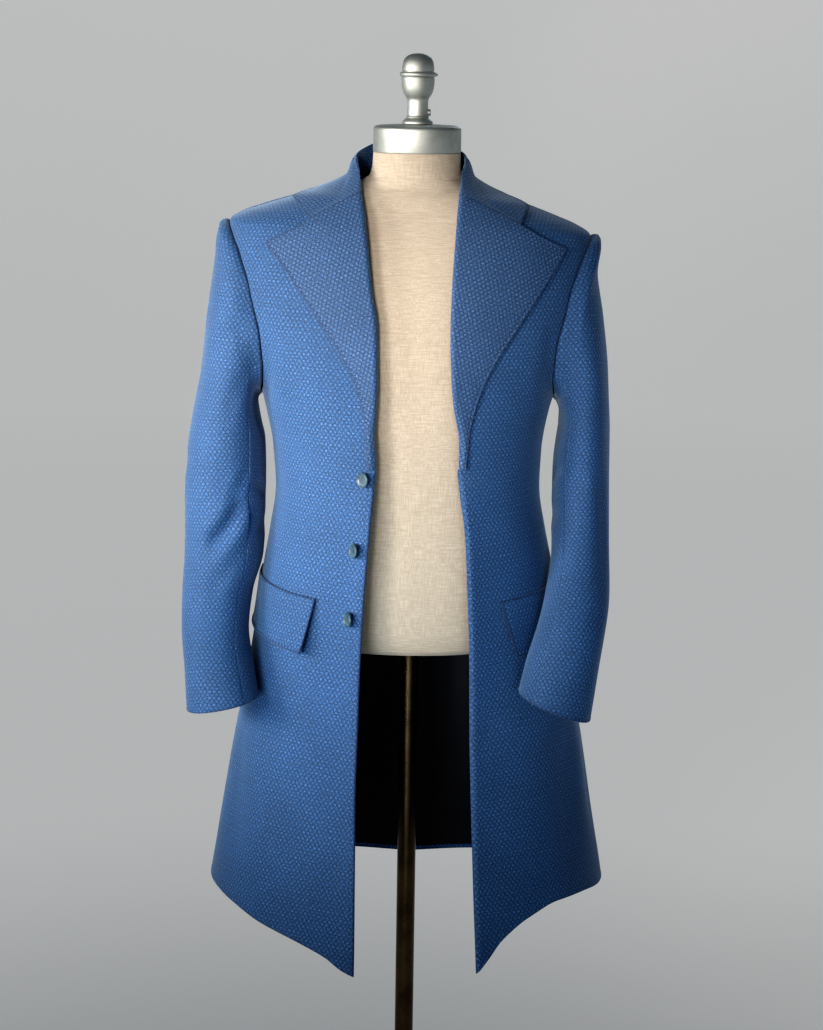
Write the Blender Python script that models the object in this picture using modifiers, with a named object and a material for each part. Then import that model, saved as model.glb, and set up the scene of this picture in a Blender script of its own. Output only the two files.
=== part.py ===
"""A long overcoat hanging open on a limbless dress form.

Metres, +Z up. The form's pole stands on the Z axis and the underside of its
base is at Z = 0. The coat's fronts face -Y. The wearer's right is at -X.
Every cloth piece is a closed wall, worked out from the coat's sections, and
stops 0.3 mm short of the piece that it is sewn to.
"""

import math
from collections import namedtuple

import bmesh
import bpy
from mathutils import Vector

# Cloth
WALL = 0.0022
LINING_WALL = 0.0010
SEAM_GAP = 0.0003
LAYER_GAP = 0.0014
LINING_GAP = 0.0008
FLAP_GAP = 0.0009
COLLAR_GAP = 0.0022
RIGHT, LEFT = -1, 1

# Levels of the coat, before it leans
NECK_POINT = 1.5245
BACK_NECK = 1.533
GORGE = 1.499
SHOULDER_POINT = 1.459
UNDERARM = 1.235
BREAK = 1.160
SIDE_HEM = 0.583
BACK_HEM = 0.562
SIDE_SEAM_TURN = 95.0

# The coat's left shoulder hangs a little lower than its right one
LEAN_SLOPE = 0.04
LEAN_FROM = 0.06
LEAN_LOW = 1.22
LEAN_HIGH = 1.36

# Shares of a panel's length, from the shoulder seam down to the hem
NECKLINE_SHARE = 0.06
ARMHOLE_SHARE = 0.33

# Share of a back's top that is neckline, before its shoulder seam
BACK_NECK_SHARE = 0.42

# Horizontal sections of the coat's outside. Shift moves the section along X.
Section = namedtuple("Section", "height half_width front back squareness shift")
BODY = [
    Section(0.480, 0.280, 0.203, 0.172, 2.30, 0.0000),
    Section(0.585, 0.266, 0.196, 0.164, 2.30, 0.0000),
    Section(0.690, 0.248, 0.184, 0.154, 2.30, 0.0000),
    Section(0.810, 0.228, 0.171, 0.143, 2.30, 0.0000),
    Section(0.917, 0.208, 0.161, 0.134, 2.30, -0.0010),
    Section(1.000, 0.195, 0.154, 0.127, 2.30, -0.0035),
    Section(1.065, 0.183, 0.150, 0.121, 2.30, -0.0050),
    Section(1.120, 0.1755, 0.148, 0.119, 2.30, -0.0060),
    Section(1.170, 0.178, 0.147, 0.122, 2.35, -0.0070),
    Section(1.215, 0.186, 0.147, 0.127, 2.40, -0.0075),
    Section(1.260, 0.199, 0.146, 0.132, 2.40, -0.0075),
    Section(1.320, 0.221, 0.141, 0.134, 2.40, -0.0075),
    Section(1.380, 0.236, 0.130, 0.130, 2.40, -0.0075),
    Section(1.430, 0.2405, 0.114, 0.118, 2.35, -0.0075),
    Section(1.459, 0.236, 0.102, 0.106, 2.30, -0.0075),
    Section(1.473, 0.215, 0.094, 0.099, 2.20, -0.0075),
    Section(1.4805, 0.195, 0.089, 0.095, 2.15, -0.0075),
    Section(1.494, 0.155, 0.080, 0.087, 2.10, -0.0075),
    Section(1.506, 0.115, 0.069, 0.080, 2.05, -0.0075),
    Section(1.5245, 0.080, 0.053, 0.070, 2.00, -0.0075),
    Section(1.533, 0.071, 0.046, 0.066, 2.00, -0.0075),
    Section(1.560, 0.062, 0.040, 0.060, 2.00, -0.0075),
]

# Distance of the front edges from the coat's middle. Above the break this is
# the rolled edge of the lapel.
Edge = namedtuple("Edge", "height right left")
FRONT_EDGE = [
    Edge(0.470, 0.0665, 0.0965),
    Edge(0.500, 0.0665, 0.0950),
    Edge(0.732, 0.0675, 0.0845),
    Edge(0.812, 0.0660, 0.0820),
    Edge(0.911, 0.0630, 0.0810),
    Edge(0.989, 0.0570, 0.0803),
    Edge(1.059, 0.0507, 0.0785),
    Edge(1.119, 0.0455, 0.0729),
    Edge(1.187, 0.0412, 0.0665),
    Edge(1.249, 0.0381, 0.0569),
    Edge(1.336, 0.0394, 0.0530),
    Edge(1.385, 0.0467, 0.0540),
    Edge(1.459, 0.0552, 0.0585),
    Edge(1.499, 0.0615, 0.0615),
    Edge(1.507, 0.0660, 0.0660),
    Edge(1.5155, 0.0720, 0.0720),
    Edge(1.5245, 0.0800, 0.0800),
]

# How far down each panel's front edge and side lie, by share of its length
Fall = namedtuple("Fall", "down height")
EDGE_FALL = [
    Fall(0.000, NECK_POINT),
    Fall(0.020, 1.5155),
    Fall(0.040, 1.507),
    Fall(NECKLINE_SHARE, GORGE),
    Fall(0.150, 1.404),
    Fall(ARMHOLE_SHARE, 1.212),
    Fall(1.000, 0.500),
]

# The armhole, by share of the panel's length: degrees round from the front
Hole = namedtuple("Hole", "down front_turn back_turn height")
ARMHOLE = [
    Hole(0.000, 90.0, 90.0, SHOULDER_POINT),
    Hole(0.030, 76.0, 104.0, 1.4480),
    Hole(0.070, 63.5, 116.5, 1.4180),
    Hole(0.120, 58.0, 122.0, 1.3750),
    Hole(0.180, 57.5, 122.5, 1.3300),
    Hole(0.240, 63.0, 117.0, 1.2850),
    Hole(0.290, 75.0, 107.0, 1.2520),
    Hole(ARMHOLE_SHARE, SIDE_SEAM_TURN, SIDE_SEAM_TURN, UNDERARM),
]

# Share of the panel's length at each turn round the sleeve, from the shoulder
HoleTurn = namedtuple("HoleTurn", "turn down")
HOLE_TURNS = [
    HoleTurn(0.0, 0.000),
    HoleTurn(22.0, 0.030),
    HoleTurn(46.0, 0.070),
    HoleTurn(74.0, 0.120),
    HoleTurn(100.0, 0.180),
    HoleTurn(128.0, 0.240),
    HoleTurn(156.0, 0.290),
    HoleTurn(180.0, ARMHOLE_SHARE),
]

# Hem height of the fronts, from the front edge (0) to the side seam (1)
Hem = namedtuple("Hem", "across right left")
FRONT_HEM = [
    Hem(0.00, 0.499, 0.504),
    Hem(0.04, 0.506, 0.521),
    Hem(0.10, 0.522, 0.546),
    Hem(0.22, 0.540, 0.572),
    Hem(0.38, 0.556, 0.588),
    Hem(0.55, 0.572, 0.590),
    Hem(0.75, 0.581, 0.586),
    Hem(1.00, SIDE_HEM, SIDE_HEM),
]

# The lapels' outer edges, from the break (0) to the peak (1)
LapelEdge = namedtuple("LapelEdge", "up right_out right_height left_out left_height")
LAPEL_EDGE = [
    LapelEdge(0.00, 0.0510, 1.1580, 0.0765, 1.1600),
    LapelEdge(0.15, 0.0530, 1.2007, 0.0790, 1.1920),
    LapelEdge(0.27, 0.0570, 1.2320, 0.0835, 1.2220),
    LapelEdge(0.42, 0.0690, 1.2710, 0.0940, 1.2580),
    LapelEdge(0.55, 0.0850, 1.3020, 0.1080, 1.2900),
    LapelEdge(0.75, 0.1270, 1.3610, 0.1420, 1.3460),
    LapelEdge(0.90, 0.1620, 1.4090, 0.1780, 1.4030),
    LapelEdge(1.00, 0.1860, 1.4370, 0.2025, 1.4436),
]
ROLL_SHARE = 0.16
ROLL_RADIUS = 0.0030
ROLL_RADIUS_AT_BREAK = 0.0006
ROLL_OPEN_FROM = 0.35
ROLL_RISE = 0.05
ROLL_END = 0.02
LAPEL_PUFF = 0.0020
NOTCH_SHARE = {RIGHT: 0.52, LEFT: 0.55}
COLLAR_CORNER_OUT = 0.152
COLLAR_CORNER_HEIGHT = 1.491

# The collar, from the centre back (0) towards the gorge (1): its fold, the
# middle of its fall and its outer edge, as out (X), back (Y) and height
Collar = namedtuple(
    "Collar",
    "along fold_out fold_back fold_height fall_out fall_back fall_height "
    "edge_out edge_back edge_height",
)
COLLAR = [
    Collar(0.00, 0.000, 0.072, 1.572, 0.000, 0.083, 1.538, 0.000, 0.092, 1.496),
    Collar(0.20, 0.030, 0.066, 1.570, 0.036, 0.078, 1.536, 0.044, 0.086, 1.495),
    Collar(0.40, 0.057, 0.046, 1.562, 0.068, 0.054, 1.532, 0.088, 0.062, 1.497),
    Collar(0.60, 0.0715, 0.000, 1.5505, 0.086, 0.002, 1.524, 0.122, 0.004, 1.506),
    Collar(0.80, 0.0665, -0.032, 1.534, 0.096, -0.040, 1.508, 0.142, -0.018, 1.500),
]
FOLD_HALF = 0.0032
FOLD_TUCK = 0.12
FOLD_SPREAD = 0.002

# Shares up the collar of its seam, the fold's two sides and middle, its fall and its edge
COLLAR_KEYS = (0.0, 0.20, 0.30, 0.40, 0.70, 1.0)

# Sleeve rings: outer and inner points of each, its middle in Y and half depth
Ring = namedtuple("Ring", "outer_x outer_z inner_x inner_z middle_y half_depth")
RINGS = {
    RIGHT: [
        Ring(-0.2435, 1.4660, -0.1975, 1.2350, 0.000, 0.084),
        Ring(-0.2540, 1.4640, -0.2020, 1.2335, 0.000, 0.085),
        Ring(-0.2600, 1.4500, -0.2050, 1.2290, 0.000, 0.086),
        Ring(-0.2647, 1.4040, -0.2060, 1.2200, 0.000, 0.086),
        Ring(-0.2738, 1.3376, -0.2040, 1.2080, 0.001, 0.085),
        Ring(-0.2816, 1.2710, -0.2000, 1.1940, 0.002, 0.082),
        Ring(-0.2929, 1.2040, -0.1955, 1.1750, 0.001, 0.078),
        Ring(-0.2994, 1.1517, -0.1945, 1.1400, -0.001, 0.075),
        Ring(-0.3015, 1.0900, -0.1955, 1.0850, -0.006, 0.071),
        Ring(-0.3015, 1.0300, -0.1970, 1.0280, -0.016, 0.067),
        Ring(-0.3025, 0.9750, -0.2095, 0.9770, -0.034, 0.064),
        Ring(-0.3015, 0.9300, -0.2130, 0.9330, -0.058, 0.061),
        Ring(-0.2960, 0.8830, -0.2055, 0.8890, -0.086, 0.057),
        Ring(-0.2910, 0.8330, -0.1970, 0.8520, -0.110, 0.052),
    ],
    LEFT: [
        Ring(0.2285, 1.4520, 0.1825, 1.2350, 0.000, 0.084),
        Ring(0.2385, 1.4510, 0.1865, 1.2335, 0.000, 0.085),
        Ring(0.2425, 1.4390, 0.1900, 1.2290, 0.000, 0.086),
        Ring(0.2390, 1.4080, 0.1925, 1.2220, 0.000, 0.087),
        Ring(0.2486, 1.3456, 0.1935, 1.2130, 0.001, 0.087),
        Ring(0.2570, 1.2794, 0.1930, 1.2020, 0.002, 0.086),
        Ring(0.2600, 1.2100, 0.1905, 1.1860, 0.000, 0.084),
        Ring(0.2611, 1.1536, 0.1870, 1.1480, -0.004, 0.082),
        Ring(0.2611, 1.0930, 0.1865, 1.0930, -0.020, 0.078),
        Ring(0.2605, 1.0400, 0.1850, 1.0420, -0.062, 0.070),
        Ring(0.2575, 0.9920, 0.1755, 0.9950, -0.116, 0.062),
        Ring(0.2515, 0.9530, 0.1640, 0.9560, -0.148, 0.058),
        Ring(0.2435, 0.9060, 0.1500, 0.9130, -0.166, 0.056),
        Ring(0.2340, 0.8450, 0.1405, 0.8800, -0.184, 0.052),
    ],
}
SLEEVE_SQUARENESS = 2.25
HOLE_FADE = 0.36
FORE_SEAM = 128.0
HIND_SEAM = 236.0

# Front edges below the break curl a little towards the viewer
Curl = namedtuple("Curl", "height lift")
EDGE_CURL = [
    Curl(0.480, 0.004),
    Curl(0.700, 0.005),
    Curl(0.900, 0.008),
    Curl(1.050, 0.009),
    Curl(1.110, 0.006),
    Curl(1.150, 0.000),
    Curl(1.600, 0.000),
]
CURL_REACH = 0.045

# Soft flutes of the skirt, from the side seam to the back
FLUTE_TOP = 0.900
FLUTE_DEPTH = 0.006
FLUTES_ROUND = 7.0

# Pocket flaps: turns round the body and distance out of their ends
FLAP_REAR_TURN = 97.0
FLAP_TOP_REAR = 1.003
FLAP_TOP_FRONT_OUT = 0.118
FLAP_TOP_FRONT = 0.987
FLAP_BOTTOM_REAR = 0.933
FLAP_BOTTOM_FRONT_OUT = 0.133
FLAP_BOTTOM_FRONT = 0.914
FLAP_STAND_OFF = 0.0030

# Buttons on the wearer's right front
Button = namedtuple("Button", "height from_edge")
BUTTONS = [
    Button(1.144, 0.0115),
    Button(1.052, 0.0145),
    Button(0.961, 0.0155),
]
BUTTON_RADIUS = 0.0100
BUTTON_THICKNESS = 0.0034
BUTTON_RIM = 0.0022
BUTTON_DISH = 0.0008
BUTTON_TILT = 24.0

# Dress form
TORSO_BOTTOM = 0.905
NECK_TOP = 1.5560
Torso = namedtuple("Torso", "height half_width front back")
TORSO = [
    Torso(0.905, 0.138, 0.098, 0.088),
    Torso(0.912, 0.150, 0.108, 0.096),
    Torso(0.935, 0.158, 0.116, 0.102),
    Torso(1.000, 0.158, 0.118, 0.104),
    Torso(1.080, 0.147, 0.113, 0.099),
    Torso(1.140, 0.145, 0.114, 0.099),
    Torso(1.220, 0.155, 0.122, 0.105),
    Torso(1.300, 0.172, 0.126, 0.112),
    Torso(1.370, 0.188, 0.117, 0.113),
    Torso(1.420, 0.199, 0.101, 0.105),
    Torso(1.450, 0.203, 0.089, 0.095),
    Torso(1.466, 0.202, 0.081, 0.087),
    Torso(1.480, 0.198, 0.074, 0.081),
    Torso(1.500, 0.160, 0.064, 0.073),
    Torso(1.511, 0.088, 0.058, 0.066),
    Torso(1.518, 0.0715, 0.0575, 0.0620),
    Torso(1.526, 0.0620, 0.0570, 0.0590),
    Torso(1.540, 0.0580, 0.0570, 0.0575),
    Torso(NECK_TOP, 0.0570, 0.0570, 0.0570),
]
TORSO_SQUARENESS = 2.15
SHOULDER_DROP = WALL + 0.0012
SHOULDER_CLEAR = 0.003
CHEST_CLEAR = 0.006
SHIFT_RISE = 0.10
SHIFT_END = 0.03
POLE_RADIUS = 0.0125
BASE_RADIUS = 0.185
BASE_TOP = 0.034
TURNED_STEPS = 32

# Turned outlines, as radius and height from the piece's own foot
Turn = namedtuple("Turn", "radius height")
CAP_OUTLINE = [
    Turn(0.0000, 0.0362),
    Turn(0.0300, 0.0358),
    Turn(0.0520, 0.0345),
    Turn(0.0572, 0.0325),
    Turn(0.0575, 0.0290),
    Turn(0.0575, 0.0000),
    Turn(0.0000, 0.0000),
]
KNOB_OUTLINE = [
    Turn(0.0000, 0.0910),
    Turn(0.0090, 0.0900),
    Turn(0.0160, 0.0860),
    Turn(0.0195, 0.0790),
    Turn(0.0205, 0.0680),
    Turn(0.0232, 0.0660),
    Turn(0.0238, 0.0630),
    Turn(0.0232, 0.0600),
    Turn(0.0215, 0.0580),
    Turn(0.0212, 0.0500),
    Turn(0.0190, 0.0420),
    Turn(0.0140, 0.0360),
    Turn(0.0138, 0.0100),
    Turn(0.0160, 0.0080),
    Turn(0.0190, 0.0070),
    Turn(0.0200, 0.0040),
    Turn(0.0200, 0.0000),
    Turn(0.0000, 0.0000),
]
BASE_OUTLINE = [
    Turn(0.0000, BASE_TOP),
    Turn(0.0200, BASE_TOP),
    Turn(0.0235, 0.0310),
    Turn(0.0300, 0.0245),
    Turn(0.0600, 0.0205),
    Turn(0.1200, 0.0165),
    Turn(0.1700, 0.0120),
    Turn(0.1820, 0.0095),
    Turn(BASE_RADIUS, 0.0060),
    Turn(BASE_RADIUS, 0.0000),
    Turn(0.0000, 0.0000),
]

# Grid lines of the cloth walls, as shares from one side of a piece to the other
PANEL_ROWS = [
    0.0, 0.015, 0.035, NECKLINE_SHARE, 0.09, 0.13, 0.17, 0.21, 0.25, 0.29, ARMHOLE_SHARE,
    0.355, 0.38, 0.43, 0.48, 0.53, 0.58, 0.64, 0.70, 0.76, 0.82, 0.88, 0.94, 1.0,
]
FRONT_COLUMNS = [0.0, 0.04, 0.09, 0.16, 0.26, 0.38, 0.50, 0.62, 0.75, 0.88, 1.0]
BACK_COLUMNS = [0.0, 0.10, 0.20, 0.31, 0.42, 0.54, 0.66, 0.78, 0.89, 1.0]
LAPEL_COLUMNS = [0.0, 0.04, 0.08, 0.12, ROLL_SHARE, 0.26, 0.40, 0.55, 0.70, 0.85, 1.0]
LAPEL_ROWS = [0.0, 0.07, 0.15, 0.23, 0.32, 0.42, 0.53, 0.65, 0.77, 0.89, 1.0]
COLLAR_ROWS = [0.0, 0.10, 0.20, 0.25, 0.30, 0.35, 0.40, 0.50, 0.60, 0.70, 0.85, 1.0]
COLLAR_HALF_COLUMNS = [
    0.0, 0.10, 0.20, 0.28, 0.36, 0.44, 0.52, 0.60, 0.67, 0.74, 0.80, 0.87, 0.94, 1.0,
]
LINING_TOP = 0.2
LINING_HEM = 0.965
SLEEVE_ROWS = [
    0.0, 0.03, 0.065, 0.10, 0.15, 0.21, 0.27, 0.33, 0.39, 0.45, 0.51, 0.57, 0.62, 0.67, 0.72,
    0.77, 0.82, 0.87, 0.91, 0.955, 1.0,
]
STEP = 1e-4


def smooth_step(share):
    """0 to 1, level at both ends."""
    share = min(1.0, max(0.0, share))
    return share * share * (3.0 - 2.0 * share)


def slope_at(xs, ys, i):
    """Slope of a smooth curve at one of its rows, level where the rows turn back."""
    if i == 0:
        return (ys[1] - ys[0]) / (xs[1] - xs[0])
    if i == len(xs) - 1:
        return (ys[-1] - ys[-2]) / (xs[-1] - xs[-2])
    before = (ys[i] - ys[i - 1]) / (xs[i] - xs[i - 1])
    after = (ys[i + 1] - ys[i]) / (xs[i + 1] - xs[i])
    if before * after <= 0.0:
        return 0.0
    return 2.0 * before * after / (before + after)


def read(table, column, key):
    """A column of a table, read smoothly at a value of its first column."""
    xs = [row[0] for row in table]
    ys = [getattr(row, column) for row in table]
    if key <= xs[0]:
        return ys[0]
    if key >= xs[-1]:
        return ys[-1]
    i = max(k for k in range(len(xs) - 1) if xs[k] <= key)
    width = xs[i + 1] - xs[i]
    t = (key - xs[i]) / width
    rise_0 = slope_at(xs, ys, i) * width
    rise_1 = slope_at(xs, ys, i + 1) * width
    return (
        (2 * t**3 - 3 * t**2 + 1) * ys[i]
        + (t**3 - 2 * t**2 + t) * rise_0
        + (3 * t**2 - 2 * t**3) * ys[i + 1]
        + (t**3 - t**2) * rise_1
    )


def mix(a, b, share):
    """Between a and b, numbers or vectors."""
    return a + (b - a) * share


def on_side(side, right, left):
    """The value for this side of the coat."""
    return right if side == RIGHT else left


def lean(x, height):
    """How far the coat's left shoulder drops, and its right one rises."""
    reach = math.copysign(max(0.0, abs(x) - LEAN_FROM), x)
    return LEAN_SLOPE * reach * smooth_step((height - LEAN_LOW) / (LEAN_HIGH - LEAN_LOW))


def place(side, out, y, height):
    """A point of the coat from its distance out from the coat's middle."""
    x = side * out
    return Vector((x + read(BODY, "shift", height), y, height - lean(x, height)))


def body_point(side, turn, height):
    """A point on the coat's outside, turn degrees round from the centre front."""
    power = 2.0 / read(BODY, "squareness", height)
    sine = math.sin(math.radians(turn))
    cosine = math.cos(math.radians(turn))
    out = read(BODY, "half_width", height) * abs(sine) ** power
    depth = read(BODY, "front" if cosine > 0.0 else "back", height)
    y = -depth * math.copysign(abs(cosine) ** power, cosine)
    if turn > SIDE_SEAM_TURN and height < FLUTE_TOP:
        fall = (FLUTE_TOP - height) / (FLUTE_TOP - BACK_HEM)
        round_back = math.radians(turn - SIDE_SEAM_TURN)
        wave = FLUTE_DEPTH * fall * math.sin(round_back * FLUTES_ROUND) * math.sin(round_back)
        out += wave * abs(sine)
        y -= wave * cosine
    return place(side, out, y, height)


def turn_of(out, height):
    """Degrees round the front at which the coat's outside is this far out."""
    share = min(1.0, out / read(BODY, "half_width", height))
    power = read(BODY, "squareness", height) / 2.0
    return math.degrees(math.asin(share**power))


def body_normal(side, turn, height):
    """Outward direction of the coat's outside."""
    along = body_point(side, turn + 0.05, height) - body_point(side, turn - 0.05, height)
    up = body_point(side, turn, height + STEP) - body_point(side, turn, height - STEP)
    return along.cross(up).normalized() * side


def edge_out(side, height):
    """Distance of the front panel's own edge from the coat's middle."""
    out = read(FRONT_EDGE, on_side(side, "right", "left"), height)
    rolled = smooth_step((height - BREAK) / ROLL_RISE) * smooth_step((NECK_POINT - height) / ROLL_END)
    return out + (ROLL_RADIUS + WALL) * rolled


def front_edge(side, down):
    """Turn and height of the front panel's edge."""
    hem = read(FRONT_HEM, on_side(side, "right", "left"), 0.0)
    height = read(EDGE_FALL, "height", down)
    if down > ARMHOLE_SHARE:
        share = (down - ARMHOLE_SHARE) / (1.0 - ARMHOLE_SHARE)
        height = mix(read(EDGE_FALL, "height", ARMHOLE_SHARE), hem, share)
    return turn_of(edge_out(side, height), height), height


def side_edge(down, column):
    """Turn and height of a panel's armhole and side seam."""
    if down <= ARMHOLE_SHARE:
        return read(ARMHOLE, column, down), read(ARMHOLE, "height", down)
    share = (down - ARMHOLE_SHARE) / (1.0 - ARMHOLE_SHARE)
    return SIDE_SEAM_TURN, mix(UNDERARM, SIDE_HEM, share)


def centre_back(down):
    """Turn and height of the centre-back seam."""
    return 180.0, mix(BACK_NECK, BACK_HEM, down)


def patch(across, down, inner, outer, top, bottom):
    """Turn and height inside a panel, from those of its four edges."""
    sides = [mix(inner(down)[k], outer(down)[k], across) for k in (0, 1)]
    keep_top = (1.0 - down) ** 8
    for edge, at, keep in ((top, 0.0, keep_top), (bottom, 1.0, down**3)):
        corners = [mix(inner(at)[k], outer(at)[k], across) for k in (0, 1)]
        wanted = edge(across)
        sides = [sides[k] + keep * (wanted[k] - corners[k]) for k in (0, 1)]
    return sides


def front_point(side, across, down):
    """A point on a front, from its front edge (0) to its armhole and side (1)."""
    column = on_side(side, "right", "left")
    turn, height = patch(
        across,
        down,
        lambda share: front_edge(side, share),
        lambda share: side_edge(share, "front_turn"),
        lambda share: (90.0, mix(NECK_POINT, SHOULDER_POINT, share)),
        lambda share: (
            mix(front_edge(side, 1.0)[0], SIDE_SEAM_TURN, share),
            read(FRONT_HEM, column, share),
        ),
    )
    point = body_point(side, turn, height)
    edge = body_point(side, *front_edge(side, down))
    away = math.hypot(point.x - edge.x, point.y - edge.y)
    curl = max(0.0, 1.0 - away / CURL_REACH) ** 2
    point.y -= read(EDGE_CURL, "lift", height) * curl
    return point


def back_top(across):
    """Turn and height along the back neck and the shoulder seam."""
    if across < BACK_NECK_SHARE:
        share = across / BACK_NECK_SHARE
        return mix(180.0, 90.0, share), mix(BACK_NECK, NECK_POINT, smooth_step(share))
    share = (across - BACK_NECK_SHARE) / (1.0 - BACK_NECK_SHARE)
    return 90.0, mix(NECK_POINT, SHOULDER_POINT, share)


def back_point(side, across, down):
    """A point on a back, from the centre-back seam (0) to its armhole and side (1)."""
    turn, height = patch(
        across,
        down,
        centre_back,
        lambda share: side_edge(share, "back_turn"),
        back_top,
        lambda share: (mix(180.0, SIDE_SEAM_TURN, share), mix(BACK_HEM, SIDE_HEM, share)),
    )
    return body_point(side, turn, height)


def roll_inner_radius(up):
    """Inner radius of the lapel's rolled edge, tight at the break."""
    return mix(ROLL_RADIUS_AT_BREAK, ROLL_RADIUS, smooth_step(up / ROLL_OPEN_FROM))


def lapel_point(side, across, up):
    """A point on the lapel's outside: round the roll, then over the chest."""
    roll_height = mix(BREAK, GORGE, up)
    roll_out = edge_out(side, roll_height)
    radius = roll_inner_radius(up)
    if across <= ROLL_SHARE:
        turn = turn_of(roll_out, roll_height)
        normal = body_normal(side, turn, roll_height)
        inward = Vector((-side, 0.0, 0.0))
        inward = (inward - normal * inward.dot(normal)).normalized()
        bend = math.pi * across / ROLL_SHARE
        middle = body_point(side, turn, roll_height) + normal * radius
        outside = radius + WALL
        return middle - normal * outside * math.cos(bend) + inward * outside * math.sin(bend)
    share = (across - ROLL_SHARE) / (1.0 - ROLL_SHARE)
    out_column = on_side(side, "right_out", "left_out")
    height_column = on_side(side, "right_height", "left_height")
    out = mix(roll_out, read(LAPEL_EDGE, out_column, up), share)
    height = mix(roll_height, read(LAPEL_EDGE, height_column, up), share)
    turn = turn_of(out, height)
    resting = WALL + LAYER_GAP
    lift = resting + (2.0 * radius + WALL - resting) * (1.0 - share) ** 2
    lift += LAPEL_PUFF * math.sin(math.pi * share)
    return body_point(side, turn, height) + body_normal(side, turn, height) * lift


def body_distance(side, point):
    """Signed distance of a point from the coat's outside, and the way out."""

    def level(at):
        height = at.z + lean(at.x - read(BODY, "shift", at.z), at.z)
        out = abs(at.x - read(BODY, "shift", height)) / read(BODY, "half_width", height)
        depth = abs(at.y) / read(BODY, "front" if at.y < 0.0 else "back", height)
        square = read(BODY, "squareness", height)
        return (out**square + depth**square) ** (1.0 / square) - 1.0

    steps = (Vector((STEP, 0, 0)), Vector((0, STEP, 0)), Vector((0, 0, STEP)))
    slope = Vector([(level(point + s) - level(point - s)) / (2 * STEP) for s in steps])
    return level(point) / slope.length, slope.normalized()


def lifted(side, point, clearance):
    """The point, moved out where it is nearer the coat's outside than clearance."""
    for _ in range(6):
        distance, way_out = body_distance(side, point)
        if distance >= clearance:
            break
        point = point + way_out * (clearance - distance)
    return point


def neck_seam(side, along):
    """The neckline, from the centre back (0) by the shoulder seam (0.6) to the gorge (1)."""
    if along <= 0.6:
        share = along / 0.6
        height = mix(BACK_NECK, NECK_POINT, smooth_step(share))
        return body_point(side, mix(180.0, 90.0, share), height)
    down = NECKLINE_SHARE * (along - 0.6) / 0.4
    return body_point(side, *front_edge(side, down))


def through(points, keys, key):
    """A smooth curve through points, read at a key."""
    Row = namedtuple("Row", "key x y z")
    rows = [Row(k, *p) for k, p in zip(keys, points)]
    return Vector([read(rows, axis, key) for axis in "xyz"])


def collar_column(side, along, up):
    """A point of the collar at one station, from the neck seam (0) to its edge (1)."""
    if along >= 1.0:
        fold_end, fall_middle = COLLAR_KEYS[3], COLLAR_KEYS[4]
        notch = ROLL_SHARE + (1.0 - ROLL_SHARE) * NOTCH_SHARE[side]
        if up <= fold_end:
            return lapel_point(side, ROLL_SHARE * up / fold_end, 1.0)
        if up <= fall_middle:
            share = (up - fold_end) / (fall_middle - fold_end)
            return lapel_point(side, mix(ROLL_SHARE, notch, share), 1.0)
        apex = lapel_point(side, notch, 1.0)
        turn = turn_of(COLLAR_CORNER_OUT, COLLAR_CORNER_HEIGHT)
        corner = body_point(side, turn, COLLAR_CORNER_HEIGHT)
        corner += body_normal(side, turn, COLLAR_CORNER_HEIGHT) * (WALL + COLLAR_GAP)
        return mix(apex, corner, (up - fall_middle) / (1.0 - fall_middle))

    def at(name):
        parts = [read(COLLAR, f"{name}_{way}", along) for way in ("out", "back", "height")]
        return place(side, *parts)

    seam = neck_seam(side, along)
    fold, fall, edge = at("fold"), at("fall"), at("edge")
    down_stand, down_fall = (seam - fold).normalized(), (fall - fold).normalized()
    bend = mix(fold, mix(seam, fall, 0.5), FOLD_TUCK)
    way = (mix(fold, fall, FOLD_TUCK) - mix(fold, seam, FOLD_TUCK)).normalized() * FOLD_HALF
    inner = bend - way + down_stand * FOLD_SPREAD
    outer = bend + way + down_fall * FOLD_SPREAD
    return through((seam, inner, fold, outer, fall, edge), COLLAR_KEYS, up)


def collar_point(across, up):
    """A point on the collar, from the right gorge (-1) to the left one (1)."""
    side = RIGHT if across < 0.0 else LEFT
    along = abs(across)
    last = COLLAR[-1].along
    if along <= last:
        point = collar_column(side, along, up)
    else:
        share = (along - last) / (1.0 - last)
        point = mix(
            collar_column(side, last, up), collar_column(side, 1.0, up), share
        )
    if up > 0.45:
        point = lifted(side, point, WALL + COLLAR_GAP)
    return point


def hole_point(side, turn):
    """A point on the armhole, turn degrees round the sleeve from the shoulder."""
    front = turn <= 180.0
    down = read(HOLE_TURNS, "down", turn if front else 360.0 - turn)
    around, height = side_edge(down, "front_turn" if front else "back_turn")
    return body_point(side, around, height)


def ring_point(ring, turn):
    """A point on a sleeve ring, from its outer side (0) by the front (90)."""
    power = 2.0 / SLEEVE_SQUARENESS
    cosine = math.cos(math.radians(turn))
    sine = math.sin(math.radians(turn))
    ahead = math.copysign(abs(cosine) ** power, cosine)
    forward = math.copysign(abs(sine) ** power, sine)
    return Vector(
        (
            mix(ring.inner_x, ring.outer_x, (1.0 + ahead) / 2.0),
            ring.middle_y - ring.half_depth * forward,
            mix(ring.inner_z, ring.outer_z, (1.0 + ahead) / 2.0),
        )
    )


def ring_at(side, down):
    """The sleeve's ring at a share of its length."""
    rings = RINGS[side]
    Row = namedtuple("Row", ("down",) + Ring._fields)
    rows = [Row(i / (len(rings) - 1), *ring) for i, ring in enumerate(rings)]
    return Ring(*(read(rows, field, down) for field in Ring._fields))


def sleeve_point(side, turn, down):
    """A point on a sleeve's outside, from the armhole (0) to the cuff (1)."""
    point = ring_point(ring_at(side, down), turn)
    kept = 1.0 - smooth_step(down / HOLE_FADE)
    if kept > 0.0:
        point += kept * (hole_point(side, turn % 360.0) - ring_point(RINGS[side][0], turn % 360.0))
    return point


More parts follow.
